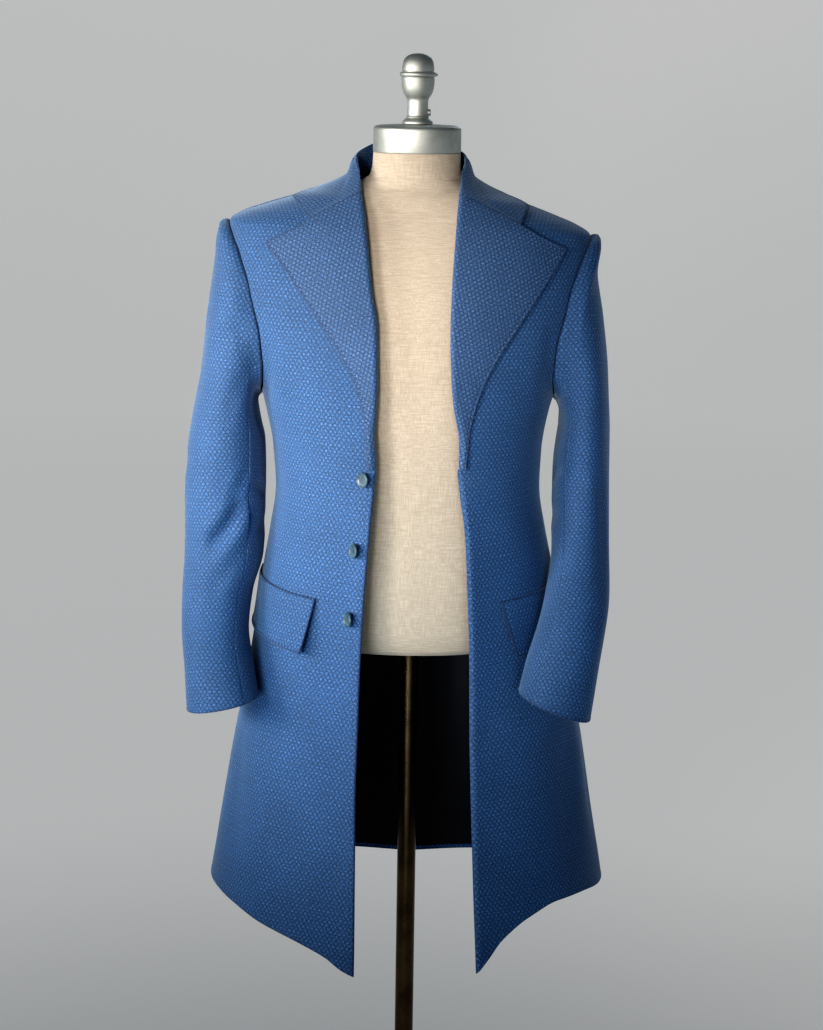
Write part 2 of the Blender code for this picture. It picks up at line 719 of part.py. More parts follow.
def flap_point(side, across, down):
    """A point on a pocket flap's outside, from its rear end (0) to its front (1)."""
    top = mix(FLAP_TOP_REAR, FLAP_TOP_FRONT, across)
    bottom = mix(FLAP_BOTTOM_REAR, FLAP_BOTTOM_FRONT, across)
    height = mix(top, bottom, down)
    front_out = mix(FLAP_TOP_FRONT_OUT, FLAP_BOTTOM_FRONT_OUT, down)
    turn = mix(FLAP_REAR_TURN, turn_of(front_out, height), across)
    lift = WALL + FLAP_GAP + FLAP_STAND_OFF * across**3 * down
    return body_point(side, turn, height) + body_normal(side, turn, height) * lift


def lining_point(across, down):
    """A point on the lining of the back, from the right side (-1) to the left (1)."""
    side = RIGHT if across < 0.0 else LEFT
    return back_point(side, abs(across), down)


def torso_point(side, turn, height):
    """A point on the dress form, kept just under the coat's shoulders."""
    row = [read(TORSO, name, height) for name in ("half_width", "front", "back")]
    shift = 0.0
    if UNDERARM < height < NECK_POINT:
        under = height + SHOULDER_DROP
        coat = [read(BODY, name, under) for name in ("half_width", "front", "back")]
        aside = read(BODY, "shift", under)
        shift = aside * smooth_step((height - UNDERARM) / SHIFT_RISE)
        shift *= smooth_step((BACK_NECK - height) / SHIFT_END)
        coat[0] += side * (aside - shift)
        clear = (SHOULDER_CLEAR, CHEST_CLEAR, CHEST_CLEAR)
        row = [min(own, outer - by) for own, outer, by in zip(row, coat, clear)]
    power = 2.0 / TORSO_SQUARENESS
    sine = math.sin(math.radians(turn))
    cosine = math.cos(math.radians(turn))
    x = side * row[0] * abs(sine) ** power
    depth = row[1] if cosine > 0.0 else row[2]
    y = -depth * math.copysign(abs(cosine) ** power, cosine)
    return Vector((x + shift, y, height - lean(x, height)))


def surface_normal(point_at, a, b, ends_a, ends_b):
    """Direction square to a surface, from points a little apart on it."""
    gap_a = (ends_a[1] - ends_a[0]) * 1e-3
    gap_b = (ends_b[1] - ends_b[0]) * 1e-3
    a_0, a_1 = max(ends_a[0], a - gap_a), min(ends_a[1], a + gap_a)
    b_0, b_1 = max(ends_b[0], b - gap_b), min(ends_b[1], b + gap_b)
    along = point_at(a_1, b) - point_at(a_0, b)
    across = point_at(a, b_1) - point_at(a, b_0)
    return along.cross(across).normalized()


def trimmed(points, trims):
    """The grid with its border lines drawn in, so that it stops short of its neighbour."""
    rows, columns = len(points), len(points[0])
    drawn = [[p.copy() for p in row] for row in points]
    first_row, last_row, first_column, last_column = trims

    def draw(i, j, to_i, to_j, by):
        way = points[to_i][to_j] - points[i][j]
        drawn[i][j] += way.normalized() * by

    for j in range(columns):
        draw(0, j, 1, j, first_row)
        draw(rows - 1, j, rows - 2, j, last_row)
    for i in range(rows):
        draw(i, 0, i, 1, first_column)
        draw(i, columns - 1, i, columns - 2, last_column)
    return drawn


def wall(name, material, point_at, across, down, flip=False, offset=0.0, thickness=WALL,
         trims=(SEAM_GAP / 2,) * 4):
    """A closed cloth wall over a surface, whose outside is offset from it."""
    ends_a, ends_b = (across[0], across[-1]), (down[0], down[-1])
    outside, inside = [], []
    points = trimmed([[point_at(a, b) for a in across] for b in down], trims)
    for i, b in enumerate(down):
        normals = [surface_normal(point_at, a, b, ends_a, ends_b) for a in across]
        if flip:
            normals = [-normal for normal in normals]
        outside.append([p + n * offset for p, n in zip(points[i], normals)])
        inside.append([p + n * (offset - thickness) for p, n in zip(points[i], normals)])
    return closed_wall(name, material, outside, inside)


def closed_wall(name, material, outside, inside):
    """A wall between two grids of points, closed round its rim."""
    rows, columns = len(outside), len(outside[0])
    mesh = bmesh.new()
    spot = mesh.verts.layers.int.new("spot")
    bmesh.ops.create_grid(mesh, x_segments=columns - 1, y_segments=rows - 1, size=1.0)
    for vert in mesh.verts:
        j = round((vert.co.x + 1.0) / 2.0 * (columns - 1))
        i = round((vert.co.y + 1.0) / 2.0 * (rows - 1))
        vert[spot] = i * columns + j
    first = set(mesh.verts)
    bmesh.ops.solidify(mesh, geom=mesh.faces[:], thickness=0.1)
    for vert in mesh.verts:
        i, j = divmod(vert[spot], columns)
        vert.co = (outside if vert in first else inside)[i][j]
    bmesh.ops.triangulate(mesh, faces=mesh.faces[:], quad_method="SHORT_EDGE")
    if mesh.calc_volume(signed=True) < 0.0:
        bmesh.ops.reverse_faces(mesh, faces=mesh.faces[:])
    return finish(mesh, name, material)


def finish(mesh, name, material, sharp_angle=50.0):
    """An object from a bmesh, shaded smooth apart from its sharp edges."""
    data = bpy.data.meshes.new(name)
    mesh.to_mesh(data)
    mesh.free()
    data.shade_smooth()
    data.set_sharp_from_angle(angle=math.radians(sharp_angle))
    data.materials.append(material)
    thing = bpy.data.objects.new(name, data)
    COAT.objects.link(thing)
    return thing


def make_material(name, colour, roughness, metallic=0.0):
    """A plain Principled material."""
    material = bpy.data.materials.new(name)
    material.use_nodes = True
    shader = material.node_tree.nodes["Principled BSDF"]
    shader.inputs["Base Color"].default_value = (*colour, 1.0)
    shader.inputs["Roughness"].default_value = roughness
    shader.inputs["Metallic"].default_value = metallic
    material.diffuse_color = (*colour, 1.0)
    return material


def turned(name, material, outline, foot, steps=TURNED_STEPS):
    """A solid turned about the Z axis from an outline that runs top to bottom."""
    data = bpy.data.meshes.new(name)
    mesh = bmesh.new()
    verts = [mesh.verts.new((turn.radius, 0.0, turn.height)) for turn in outline]
    for upper, lower in zip(verts, verts[1:]):
        mesh.edges.new((upper, lower))
    mesh.to_mesh(data)
    mesh.free()
    data.materials.append(material)
    thing = bpy.data.objects.new(name, data)
    COAT.objects.link(thing)
    screw = thing.modifiers.new("turn", "SCREW")
    screw.axis = "Z"
    screw.steps = steps
    screw.render_steps = steps
    screw.use_merge_vertices = True
    screw.merge_threshold = 0.00001
    screw.use_smooth_shade = True
    thing.location = foot
    return thing


def make_fronts(cloth):
    """The two fronts, their lapels and pocket flaps."""
    for side, word in ((RIGHT, "right"), (LEFT, "left")):
        flip = side == RIGHT

        def front(across, down, side=side):
            return front_point(side, across, down)

        def lapel(across, up, side=side):
            return lapel_point(side, across, up)

        def flap(across, down, side=side):
            return flap_point(side, across, down)

        wall(f"front_{word}", cloth, front, FRONT_COLUMNS, PANEL_ROWS, flip=not flip)
        wall(f"lapel_{word}", cloth, lapel, LAPEL_COLUMNS, LAPEL_ROWS, flip=flip,
             trims=(SEAM_GAP, 2 * SEAM_GAP, 1.5 * SEAM_GAP, 0.0))
        shares = [i / 8 for i in range(9)]
        wall(f"pocket_flap_{word}", cloth, flap, shares, shares[::2], flip=flip)


def make_backs(cloth, lining):
    """The two backs and the lining that shows inside them."""
    for side, word in ((RIGHT, "right"), (LEFT, "left")):

        def back(across, down, side=side):
            return back_point(side, across, down)

        wall(f"back_{word}", cloth, back, BACK_COLUMNS, PANEL_ROWS, flip=side == RIGHT)
    columns = [-a for a in reversed(BACK_COLUMNS[1:])] + BACK_COLUMNS
    rows = [down for down in PANEL_ROWS if LINING_TOP < down < LINING_HEM]
    wall("lining_back", lining, lining_point, columns, rows + [LINING_HEM],
         offset=-(WALL + LINING_GAP), thickness=LINING_WALL)


def make_collar(cloth):
    """The collar, stand and fall in one."""
    columns = [-a for a in reversed(COLLAR_HALF_COLUMNS[1:])] + COLLAR_HALF_COLUMNS
    wall("collar", cloth, collar_point, columns, COLLAR_ROWS,
         trims=(SEAM_GAP, 0.0, 2 * SEAM_GAP, 2 * SEAM_GAP))


def make_sleeves(cloth):
    """Two-piece sleeves, each a top sleeve and an under sleeve."""
    hind, crown = HIND_SEAM - 360.0, 15.0
    top = [mix(hind, -2 * crown, i / 5) for i in range(5)]
    top += [crown * i for i in range(-2, 3)]
    top += [mix(2 * crown, FORE_SEAM, i / 5) for i in range(1, 6)]
    under = [mix(FORE_SEAM, HIND_SEAM, i / 7) for i in range(8)]
    trims = (2 * SEAM_GAP, SEAM_GAP, SEAM_GAP, SEAM_GAP)
    for side, word in ((RIGHT, "right"), (LEFT, "left")):

        def sleeve(turn, down, side=side):
            return sleeve_point(side, turn, down)

        for part, turns in (("top", top), ("under", under)):
            wall(f"sleeve_{word}_{part}", cloth, sleeve, turns, SLEEVE_ROWS, flip=side == RIGHT,
                 trims=trims)


def make_buttons(horn):
    """Three four-hole buttons, tilted on their thread shanks."""
    for number, button in enumerate(BUTTONS, start=1):
        down = next(
            i / 1000 for i in range(1000) if front_edge(RIGHT, i / 1000)[1] <= button.height
        )
        edge = front_point(RIGHT, 0.0, down)
        across = next(
            i / 1000
            for i in range(1000)
            if abs(front_point(RIGHT, i / 1000, down).x - edge.x) >= button.from_edge
        )
        seat = front_point(RIGHT, across, down)
        normal = surface_normal(
            lambda a, b: front_point(RIGHT, a, b), across, down, (0.0, 1.0), (0.0, 1.0)
        )
        if normal.y > 0.0:
            normal = -normal
        tilt = math.radians(BUTTON_TILT)
        beside = Vector((0.0, 0.0, 1.0)).cross(normal).normalized()
        facing = (normal * math.cos(tilt) + beside * math.sin(tilt)).normalized()
        if facing.x > 0.0:
            facing = (normal * math.cos(tilt) - beside * math.sin(tilt)).normalized()
        lift = BUTTON_RADIUS * math.sin(tilt) + BUTTON_THICKNESS / 2 * math.cos(tilt) + SEAM_GAP
        outline = [
            Turn(0.0, BUTTON_THICKNESS / 2 - BUTTON_DISH),
            Turn(BUTTON_RADIUS - BUTTON_RIM, BUTTON_THICKNESS / 2 - BUTTON_DISH),
            Turn(BUTTON_RADIUS - BUTTON_RIM / 2, BUTTON_THICKNESS / 2),
            Turn(BUTTON_RADIUS, BUTTON_THICKNESS / 4),
            Turn(BUTTON_RADIUS, -BUTTON_THICKNESS / 4),
            Turn(BUTTON_RADIUS - BUTTON_RIM / 2, -BUTTON_THICKNESS / 2),
            Turn(0.0, -BUTTON_THICKNESS / 2),
        ]
        thing = turned(f"button_{number}", horn, outline, seat + normal * lift, steps=20)
        thing.rotation_mode = "QUATERNION"
        thing.rotation_quaternion = facing.to_track_quat("Z", "Y")


def make_torso(linen):
    """The form's torso and neck, lofted through its sections."""
    mesh = bmesh.new()
    rim = bmesh.ops.create_circle(
        mesh, cap_ends=True, segments=TURNED_STEPS, radius=BASE_RADIUS
    )["verts"]
    for i, row in enumerate(TORSO):
        if i:
            edges = [edge for edge in mesh.edges if all(end in rim for end in edge.verts)]
            made = bmesh.ops.extrude_edge_only(mesh, edges=edges)["geom"]
            fresh = {item for item in made if isinstance(item, bmesh.types.BMVert)}
            rim = [
                next(e.other_vert(v) for e in v.link_edges if e.other_vert(v) in fresh) for v in rim
            ]
        for k, vert in enumerate(rim):
            turn = 360.0 * k / TURNED_STEPS
            side = LEFT if turn <= 180.0 else RIGHT
            vert.co = torso_point(side, min(turn, 360.0 - turn), row.height)
    bmesh.ops.contextual_create(mesh, geom=rim)
    bmesh.ops.recalc_face_normals(mesh, faces=mesh.faces[:])
    finish(mesh, "form_torso", linen)


def make_stand(metal, dark_metal, iron):
    """Neck cap, knob, pole and base."""
    turned("form_neck_cap", metal, CAP_OUTLINE, (0.0, 0.0, NECK_TOP + SEAM_GAP))
    cap_top = NECK_TOP + SEAM_GAP + CAP_OUTLINE[0].height
    turned("form_knob", metal, KNOB_OUTLINE, (0.0, 0.0, cap_top + SEAM_GAP), steps=24)
    foot = BASE_TOP + SEAM_GAP
    head = TORSO_BOTTOM - SEAM_GAP
    mesh = bmesh.new()
    bmesh.ops.create_cone(mesh, cap_ends=True, segments=24, radius1=POLE_RADIUS,
                          radius2=POLE_RADIUS, depth=head - foot)
    bmesh.ops.translate(mesh, verts=mesh.verts[:], vec=(0.0, 0.0, (head + foot) / 2))
    finish(mesh, "form_pole", dark_metal)
    turned("form_base", iron, BASE_OUTLINE, (0.0, 0.0, 0.0), steps=48)


for old in list(bpy.data.objects):
    bpy.data.objects.remove(old, do_unlink=True)
COAT = bpy.data.collections.new("overcoat_on_dress_form")
bpy.context.scene.collection.children.link(COAT)

BLUE_WOOL = make_material("blue_wool", (0.045, 0.115, 0.30), 0.85)
BLACK_SATIN = make_material("black_satin", (0.004, 0.005, 0.009), 0.35)
DARK_HORN = make_material("dark_horn", (0.045, 0.06, 0.075), 0.25)
LINEN = make_material("linen", (0.66, 0.60, 0.49), 0.85)
NICKEL = make_material("brushed_nickel", (0.55, 0.57, 0.55), 0.32, 1.0)
BRONZE = make_material("bronzed_pole", (0.045, 0.033, 0.020), 0.35, 1.0)
CAST_IRON = make_material("cast_iron", (0.020, 0.020, 0.022), 0.55, 0.4)

make_fronts(BLUE_WOOL)
make_backs(BLUE_WOOL, BLACK_SATIN)
make_collar(BLUE_WOOL)
make_sleeves(BLUE_WOOL)
make_buttons(DARK_HORN)
make_torso(LINEN)
make_stand(NICKEL, BRONZE, CAST_IRON)
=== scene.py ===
"""Looks of a long blue overcoat that hangs open on a limbless dress form.

Metres, +Z up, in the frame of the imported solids: the form's pole stands on the
Z axis, the coat's fronts face -Y and the wearer's right side is at -X. Each
cloth piece is a thin shell worked out from the coat's sections, with its
creases, rolled edges and hand stitching.
"""

import logging
import math
from collections.abc import Callable, Iterator, Sequence
from dataclasses import dataclass, field
from enum import Enum, IntEnum

import bmesh
import bpy
import numpy as np
from mathutils import Euler, Matrix, Vector


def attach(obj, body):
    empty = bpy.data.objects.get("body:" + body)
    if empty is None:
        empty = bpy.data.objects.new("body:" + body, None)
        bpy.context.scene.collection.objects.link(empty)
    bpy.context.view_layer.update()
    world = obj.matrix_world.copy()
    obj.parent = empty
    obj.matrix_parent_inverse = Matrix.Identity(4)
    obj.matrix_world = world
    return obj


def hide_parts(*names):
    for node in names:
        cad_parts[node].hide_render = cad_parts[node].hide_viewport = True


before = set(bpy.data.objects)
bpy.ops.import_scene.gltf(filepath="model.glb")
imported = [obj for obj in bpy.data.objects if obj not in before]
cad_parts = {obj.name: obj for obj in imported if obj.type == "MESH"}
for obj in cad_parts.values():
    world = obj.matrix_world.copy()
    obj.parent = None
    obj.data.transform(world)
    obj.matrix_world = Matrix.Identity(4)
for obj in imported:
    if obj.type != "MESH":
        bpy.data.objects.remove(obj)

# Short names of types
Array = np.ndarray
Places = tuple[Array, Array]
Pair = tuple[float, float]
Triple = tuple[float, float, float]
Colour = tuple[float, float, float, float]
Material = bpy.types.Material
Object = bpy.types.Object
Socket = bpy.types.NodeSocket
BMesh = bmesh.types.BMesh

LOG = logging.getLogger("overcoat")
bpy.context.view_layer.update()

# Cloth
WALL = 0.0022
LINING_WALL = 0.001
SEAM_GAP = 0.0003
LAYER_GAP = 0.0014
LINING_GAP = 0.0008
FLAP_GAP = 0.0009
COLLAR_GAP = 0.0022

# Levels of the coat, before it leans
NECK_POINT = 1.5245
BACK_NECK = 1.533
GORGE = 1.499
SHOULDER_POINT = 1.459
UNDERARM = 1.235
BREAK = 1.16
SIDE_HEM = 0.583
BACK_HEM = 0.562
SIDE_SEAM_TURN = 95.0
LEAN_SLOPE = 0.04
LEAN_FROM = 0.06
LEAN_LOW = 1.22
LEAN_HIGH = 1.36

# Shares of the panels' edges, and the powers by which their tops and hems bend them
NECKLINE_SHARE = 0.06
ARMHOLE_SHARE = 0.33
BACK_NECK_SHARE = 0.42
NECK_SEAM_SHARE = 0.6
TOP_KEEP = 8
HEM_KEEP = 3

# Steps for slopes, in metres and degrees, and the least length of a vector
STEP = 1e-4
TURN_STEP = 0.05
TINY = 1e-12


class Side(IntEnum):
    """The wearer's two sides, signed as the X axis is."""

    RIGHT = -1
    LEFT = 1

    @property
    def word(self) -> str:
        """The side's name in lower case."""
        return self.name.lower()


class Table:
    """Rows of numbers under named columns, read smoothly at a value of the first one."""

    def __init__(self, columns: str, *rows: Sequence[float]) -> None:
        """Works out the slopes at every row.

        Args:
            columns: Names of the columns, with spaces between them.
            rows: The rows, in rising order of their first number.
        """
        data = np.array(rows, float)
        self.keys = data[:, 0]
        self.names = columns.split()
        self.values = data
        self.slopes = slopes_of(self.keys, data)

    def at(self, column: str, key: Array | float) -> Array:
        """A column's value at a key.

        Args:
            column: The column's name.
            key: Values of the first column.

        Returns:
            The smooth value at each key.
        """
        k = self.names.index(column)
        return hermite(self.keys, self.values[:, k], self.slopes[:, k], np.asarray(key, float))


def slopes_of(keys: Array, values: Array) -> Array:
    """Slopes of a smooth curve at its rows, level where the rows turn back.

    Args:
        keys: Where the rows stand.
        values: Their values, rows first.

    Returns:
        The slope of every value.
    """
    widths = np.diff(keys).reshape((-1,) + (1,) * (values.ndim - 1))
    secants = np.diff(values, axis=0) / widths
    before, after = secants[:-1], secants[1:]
    same = before * after > 0.0
    total = np.where(same, before + after, 1.0)
    inner = np.where(same, 2.0 * before * after / total, 0.0)
    return np.concatenate([secants[:1], inner, secants[-1:]])


def hermite(keys: Array, values: Array, slopes: Array, at: Array) -> Array:
    """A smooth curve through rows of values.

    Args:
        keys: Where the rows stand.
        values: One number for each row, or one array of the shape of at.
        slopes: Their slopes.
        at: Where the curve is read.

    Returns:
        The curve's values, in the shape of at.
    """
    at = np.clip(at, keys[0], keys[-1])
    i = np.clip(np.searchsorted(keys, at, side="right") - 1, 0, len(keys) - 2)
    width = keys[i + 1] - keys[i]
    t = (at - keys[i]) / width
    pick = () if values.ndim == 1 else np.indices(at.shape)
    y_0, y_1 = values[(i, *pick)], values[(i + 1, *pick)]
    m_0, m_1 = slopes[(i, *pick)] * width, slopes[(i + 1, *pick)] * width
    return (
        (2 * t**3 - 3 * t**2 + 1) * y_0
        + (t**3 - 2 * t**2 + t) * m_0
        + (3 * t**2 - 2 * t**3) * y_1
        + (t**3 - t**2) * m_1
    )


def smooth_step(share: Array | float) -> Array:
    """0 to 1, level at both ends."""
    share = np.clip(share, 0.0, 1.0)
    return share * share * (3.0 - 2.0 * share)


def mix(a: Array | float, b: Array | float, share: Array | float) -> Array:
    """Between a and b, by share."""
    return a + (np.asarray(b) - a) * share


def units(vectors: Array) -> Array:
    """The vectors at length 1."""
    length = np.linalg.norm(vectors, axis=-1, keepdims=True)
    return vectors / np.maximum(length, TINY)


def dot(a: Array, b: Array) -> Array:
    """Dot products of two sets of vectors."""
    return (a * b).sum(axis=-1)


def rounded(angle: Array, power: float | Array) -> Places:
    """Sine and cosine of an angle in degrees, squared off by a power, signs kept."""
    sine, cosine = np.sin(np.radians(angle)), np.cos(np.radians(angle))
    return np.sign(sine) * np.abs(sine) ** power, np.sign(cosine) * np.abs(cosine) ** power


# Horizontal sections of the coat's outside
BODY = Table(
    "height half_width front back squareness shift",
    (0.48, 0.28, 0.203, 0.172, 2.3, 0.0),
    (0.585, 0.266, 0.196, 0.164, 2.3, 0.0),
    (0.69, 0.248, 0.184, 0.154, 2.3, 0.0),
    (0.81, 0.228, 0.171, 0.143, 2.3, 0.0),
    (0.917, 0.208, 0.161, 0.134, 2.3, -0.001),
    (1.0, 0.195, 0.154, 0.127, 2.3, -0.0035),
    (1.065, 0.183, 0.15, 0.121, 2.3, -0.005),
    (1.12, 0.1755, 0.148, 0.119, 2.3, -0.006),
    (1.17, 0.178, 0.147, 0.122, 2.35, -0.007),
    (1.215, 0.186, 0.147, 0.127, 2.4, -0.0075),
    (1.26, 0.199, 0.146, 0.132, 2.4, -0.0075),
    (1.32, 0.221, 0.141, 0.134, 2.4, -0.0075),
    (1.38, 0.236, 0.13, 0.13, 2.4, -0.0075),
    (1.43, 0.2405, 0.114, 0.118, 2.35, -0.0075),
    (1.459, 0.236, 0.102, 0.106, 2.3, -0.0075),
    (1.473, 0.215, 0.094, 0.099, 2.2, -0.0075),
    (1.4805, 0.195, 0.089, 0.095, 2.15, -0.0075),
    (1.494, 0.155, 0.08, 0.087, 2.1, -0.0075),
    (1.506, 0.115, 0.069, 0.08, 2.05, -0.0075),
    (1.5245, 0.08, 0.053, 0.07, 2.0, -0.0075),
    (1.533, 0.071, 0.046, 0.066, 2.0, -0.0075),
    (1.56, 0.062, 0.04, 0.06, 2.0, -0.0075),
)

# Distance of the front edges, and of the rolled lapels, from the coat's middle
FRONT_EDGE = Table(
    "height right left",
    (0.47, 0.0665, 0.0965),
    (0.5, 0.0665, 0.095),
    (0.732, 0.0675, 0.0845),
    (0.812, 0.066, 0.082),
    (0.911, 0.063, 0.081),
    (0.989, 0.057, 0.0803),
    (1.059, 0.0507, 0.0785),
    (1.119, 0.0455, 0.0729),
    (1.187, 0.0412, 0.0665),
    (1.249, 0.0381, 0.0569),
    (1.336, 0.0394, 0.053),
    (1.385, 0.0467, 0.054),
    (1.459, 0.0552, 0.0585),
    (1.499, 0.0615, 0.0615),
    (1.507, 0.066, 0.066),
    (1.5155, 0.072, 0.072),
    (1.5245, 0.08, 0.08),
)
EDGE_FALL = Table(
    "down height",
    (0.0, NECK_POINT),
    (0.02, 1.5155),
    (0.04, 1.507),
    (NECKLINE_SHARE, GORGE),
    (0.15, 1.404),
    (ARMHOLE_SHARE, 1.212),
    (1.0, 0.5),
)
ARMHOLE = Table(
    "down front_turn back_turn height",
    (0.0, 90.0, 90.0, SHOULDER_POINT),
    (0.03, 76.0, 104.0, 1.448),
    (0.07, 63.5, 116.5, 1.418),
    (0.12, 58.0, 122.0, 1.375),
    (0.18, 57.5, 122.5, 1.33),
    (0.24, 63.0, 117.0, 1.285),
    (0.29, 75.0, 107.0, 1.252),
    (ARMHOLE_SHARE, SIDE_SEAM_TURN, SIDE_SEAM_TURN, UNDERARM),
)
HOLE_TURNS = Table(
    "turn down",
    (0.0, 0.0),
    (22.0, 0.03),
    (46.0, 0.07),
    (74.0, 0.12),
    (100.0, 0.18),
    (128.0, 0.24),
    (156.0, 0.29),
    (180.0, ARMHOLE_SHARE),
)
FRONT_HEM = Table(
    "across right left",
    (0.0, 0.499, 0.504),
    (0.04, 0.506, 0.521),
    (0.1, 0.522, 0.546),
    (0.22, 0.54, 0.572),
    (0.38, 0.556, 0.588),
    (0.55, 0.572, 0.59),
    (0.75, 0.581, 0.586),
    (1.0, SIDE_HEM, SIDE_HEM),
)
LAPEL_EDGE = Table(
    "up right_out right_height left_out left_height",
    (0.0, 0.051, 1.158, 0.0765, 1.16),
    (0.15, 0.053, 1.2007, 0.079, 1.192),
    (0.27, 0.057, 1.232, 0.0835, 1.222),
    (0.42, 0.069, 1.271, 0.094, 1.258),
    (0.55, 0.085, 1.302, 0.108, 1.29),
    (0.75, 0.127, 1.361, 0.142, 1.346),
    (0.9, 0.162, 1.409, 0.178, 1.403),
    (1.0, 0.186, 1.437, 0.2025, 1.4436),
)
ROLL_SHARE = 0.16
ROLL_RADIUS = 0.003
ROLL_RADIUS_AT_BREAK = 0.0006
ROLL_GROWS_OVER = 0.35
ROLL_OPENS_OVER = 0.05
ROLL_ENDS_OVER = 0.02
LAPEL_PUFF = 0.002
NOTCH_SHARE = {Side.RIGHT: 0.52, Side.LEFT: 0.55}
NOTCH_FADE = 0.003
GORGE_ROLL_END = 0.4
GORGE_NOTCH_END = 0.7
COLLAR_CORNER_OUT = 0.152
COLLAR_CORNER_HEIGHT = 1.491
COLLAR = Table(
    "along fold_out fold_back fold_height fall_out fall_back fall_height "
    "edge_out edge_back edge_height",
    (0.0, 0.0, 0.072, 1.572, 0.0, 0.083, 1.538, 0.0, 0.092, 1.496),
    (0.2, 0.03, 0.066, 1.57, 0.036, 0.078, 1.536, 0.044, 0.086, 1.495),
    (0.4, 0.057, 0.046, 1.562, 0.068, 0.054, 1.532, 0.088, 0.062, 1.497),
    (0.6, 0.0715, 0.0, 1.5505, 0.086, 0.002, 1.524, 0.122, 0.004, 1.506),
    (0.8, 0.0665, -0.032, 1.534, 0.096, -0.04, 1.508, 0.142, -0.018, 1.5),
)
COLLAR_KEYS = np.array((0.0, 0.2, 0.3, 0.4, 0.7, 1.0))
COLLAR_LIES_FROM = 0.45
FOLD_HALF = 0.0032
FOLD_DROP = 0.12
FOLD_ROUND = 0.002
LIFT_ROUNDS = 5
RING_COLUMNS = "down outer_x outer_z inner_x inner_z middle_y half_depth"
RING_ROWS = {
    Side.RIGHT: (
        (-0.2435, 1.466, -0.1975, 1.235, 0.0, 0.084),
        (-0.254, 1.464, -0.202, 1.2335, 0.0, 0.085),
        (-0.26, 1.45, -0.205, 1.229, 0.0, 0.086),
        (-0.2647, 1.404, -0.206, 1.22, 0.0, 0.086),
        (-0.2738, 1.3376, -0.204, 1.208, 0.001, 0.085),
        (-0.2816, 1.271, -0.2, 1.194, 0.002, 0.082),
        (-0.2929, 1.204, -0.1955, 1.175, 0.001, 0.078),
        (-0.2994, 1.1517, -0.1945, 1.14, -0.001, 0.075),
        (-0.3015, 1.09, -0.1955, 1.085, -0.006, 0.071),
        (-0.3015, 1.03, -0.197, 1.028, -0.016, 0.067),
        (-0.3025, 0.975, -0.2095, 0.977, -0.034, 0.064),
        (-0.3015, 0.93, -0.213, 0.933, -0.058, 0.061),
        (-0.296, 0.883, -0.2055, 0.889, -0.086, 0.057),
        (-0.291, 0.833, -0.197, 0.852, -0.11, 0.052),
    ),
    Side.LEFT: (
        (0.2285, 1.452, 0.1825, 1.235, 0.0, 0.084),
        (0.2385, 1.451, 0.1865, 1.2335, 0.0, 0.085),
        (0.2425, 1.439, 0.19, 1.229, 0.0, 0.086),
        (0.239, 1.408, 0.1925, 1.222, 0.0, 0.087),
        (0.2486, 1.3456, 0.1935, 1.213, 0.001, 0.087),
        (0.257, 1.2794, 0.193, 1.202, 0.002, 0.086),
        (0.26, 1.21, 0.1905, 1.186, 0.0, 0.084),
        (0.2611, 1.1536, 0.187, 1.148, -0.004, 0.082),
        (0.2611, 1.093, 0.1865, 1.093, -0.02, 0.078),
        (0.2605, 1.04, 0.185, 1.042, -0.062, 0.07),
        (0.2575, 0.992, 0.1755, 0.995, -0.116, 0.062),
        (0.2515, 0.953, 0.164, 0.956, -0.148, 0.058),
        (0.2435, 0.906, 0.15, 0.913, -0.166, 0.056),
        (0.234, 0.845, 0.1405, 0.88, -0.184, 0.052),
    ),
}
RINGS = {
    side: Table(RING_COLUMNS, *((i / (len(rows) - 1), *row) for i, row in enumerate(rows)))
    for side, rows in RING_ROWS.items()
}
SLEEVE_SQUARENESS = 2.25
HOLE_FADE = 0.36
FORE_SEAM = 128.0
HIND_SEAM = 236.0
EDGE_CURL = Table(
    "height lift",
    (0.48, 0.004),
    (0.7, 0.005),
    (0.9, 0.008),
    (1.05, 0.009),
    (1.11, 0.006),
    (1.15, 0.0),
    (1.6, 0.0),
)
CURL_REACH = 0.045
FLUTE_TOP = 0.9
FLUTE_DEPTH = 0.006
FLUTES_ROUND = 7.0
TORSO = Table(
    "height half_width front back",
    (0.905, 0.138, 0.098, 0.088),
    (0.912, 0.15, 0.108, 0.096),
    (0.935, 0.158, 0.116, 0.102),
    (1.0, 0.158, 0.118, 0.104),
    (1.08, 0.147, 0.113, 0.099),
    (1.14, 0.145, 0.114, 0.099),
    (1.22, 0.155, 0.122, 0.105),
    (1.3, 0.172, 0.126, 0.112),
    (1.37, 0.188, 0.117, 0.113),
    (1.42, 0.199, 0.101, 0.105),
    (1.45, 0.203, 0.089, 0.095),
    (1.466, 0.202, 0.081, 0.087),
    (1.48, 0.198, 0.074, 0.081),
    (1.5, 0.16, 0.064, 0.073),
    (1.511, 0.088, 0.058, 0.066),
    (1.518, 0.0715, 0.0575, 0.062),
    (1.526, 0.062, 0.057, 0.059),
    (1.54, 0.058, 0.057, 0.0575),
    (1.556, 0.057, 0.057, 0.057),
)
TORSO_SQUARENESS = 2.15

# The bare front of the neck, where the torso needn't keep inside the coat
NECK_BARE_FROM = 1.5
NECK_BARE_TURN = 75.0
NECK_BARE_FADE = 35.0

# How the torso keeps inside the coat: the coat is read this much higher, and the torso's
# half width, front and back are at least so much less; its shift to the side fades in
# and out over the last two heights
TORSO_LOOK_UP = 0.0012
TORSO_INSIDE = (0.003, 0.006, 0.006)
TORSO_SHIFT_OVER = 0.1
TORSO_SHIFT_OFF = 0.03

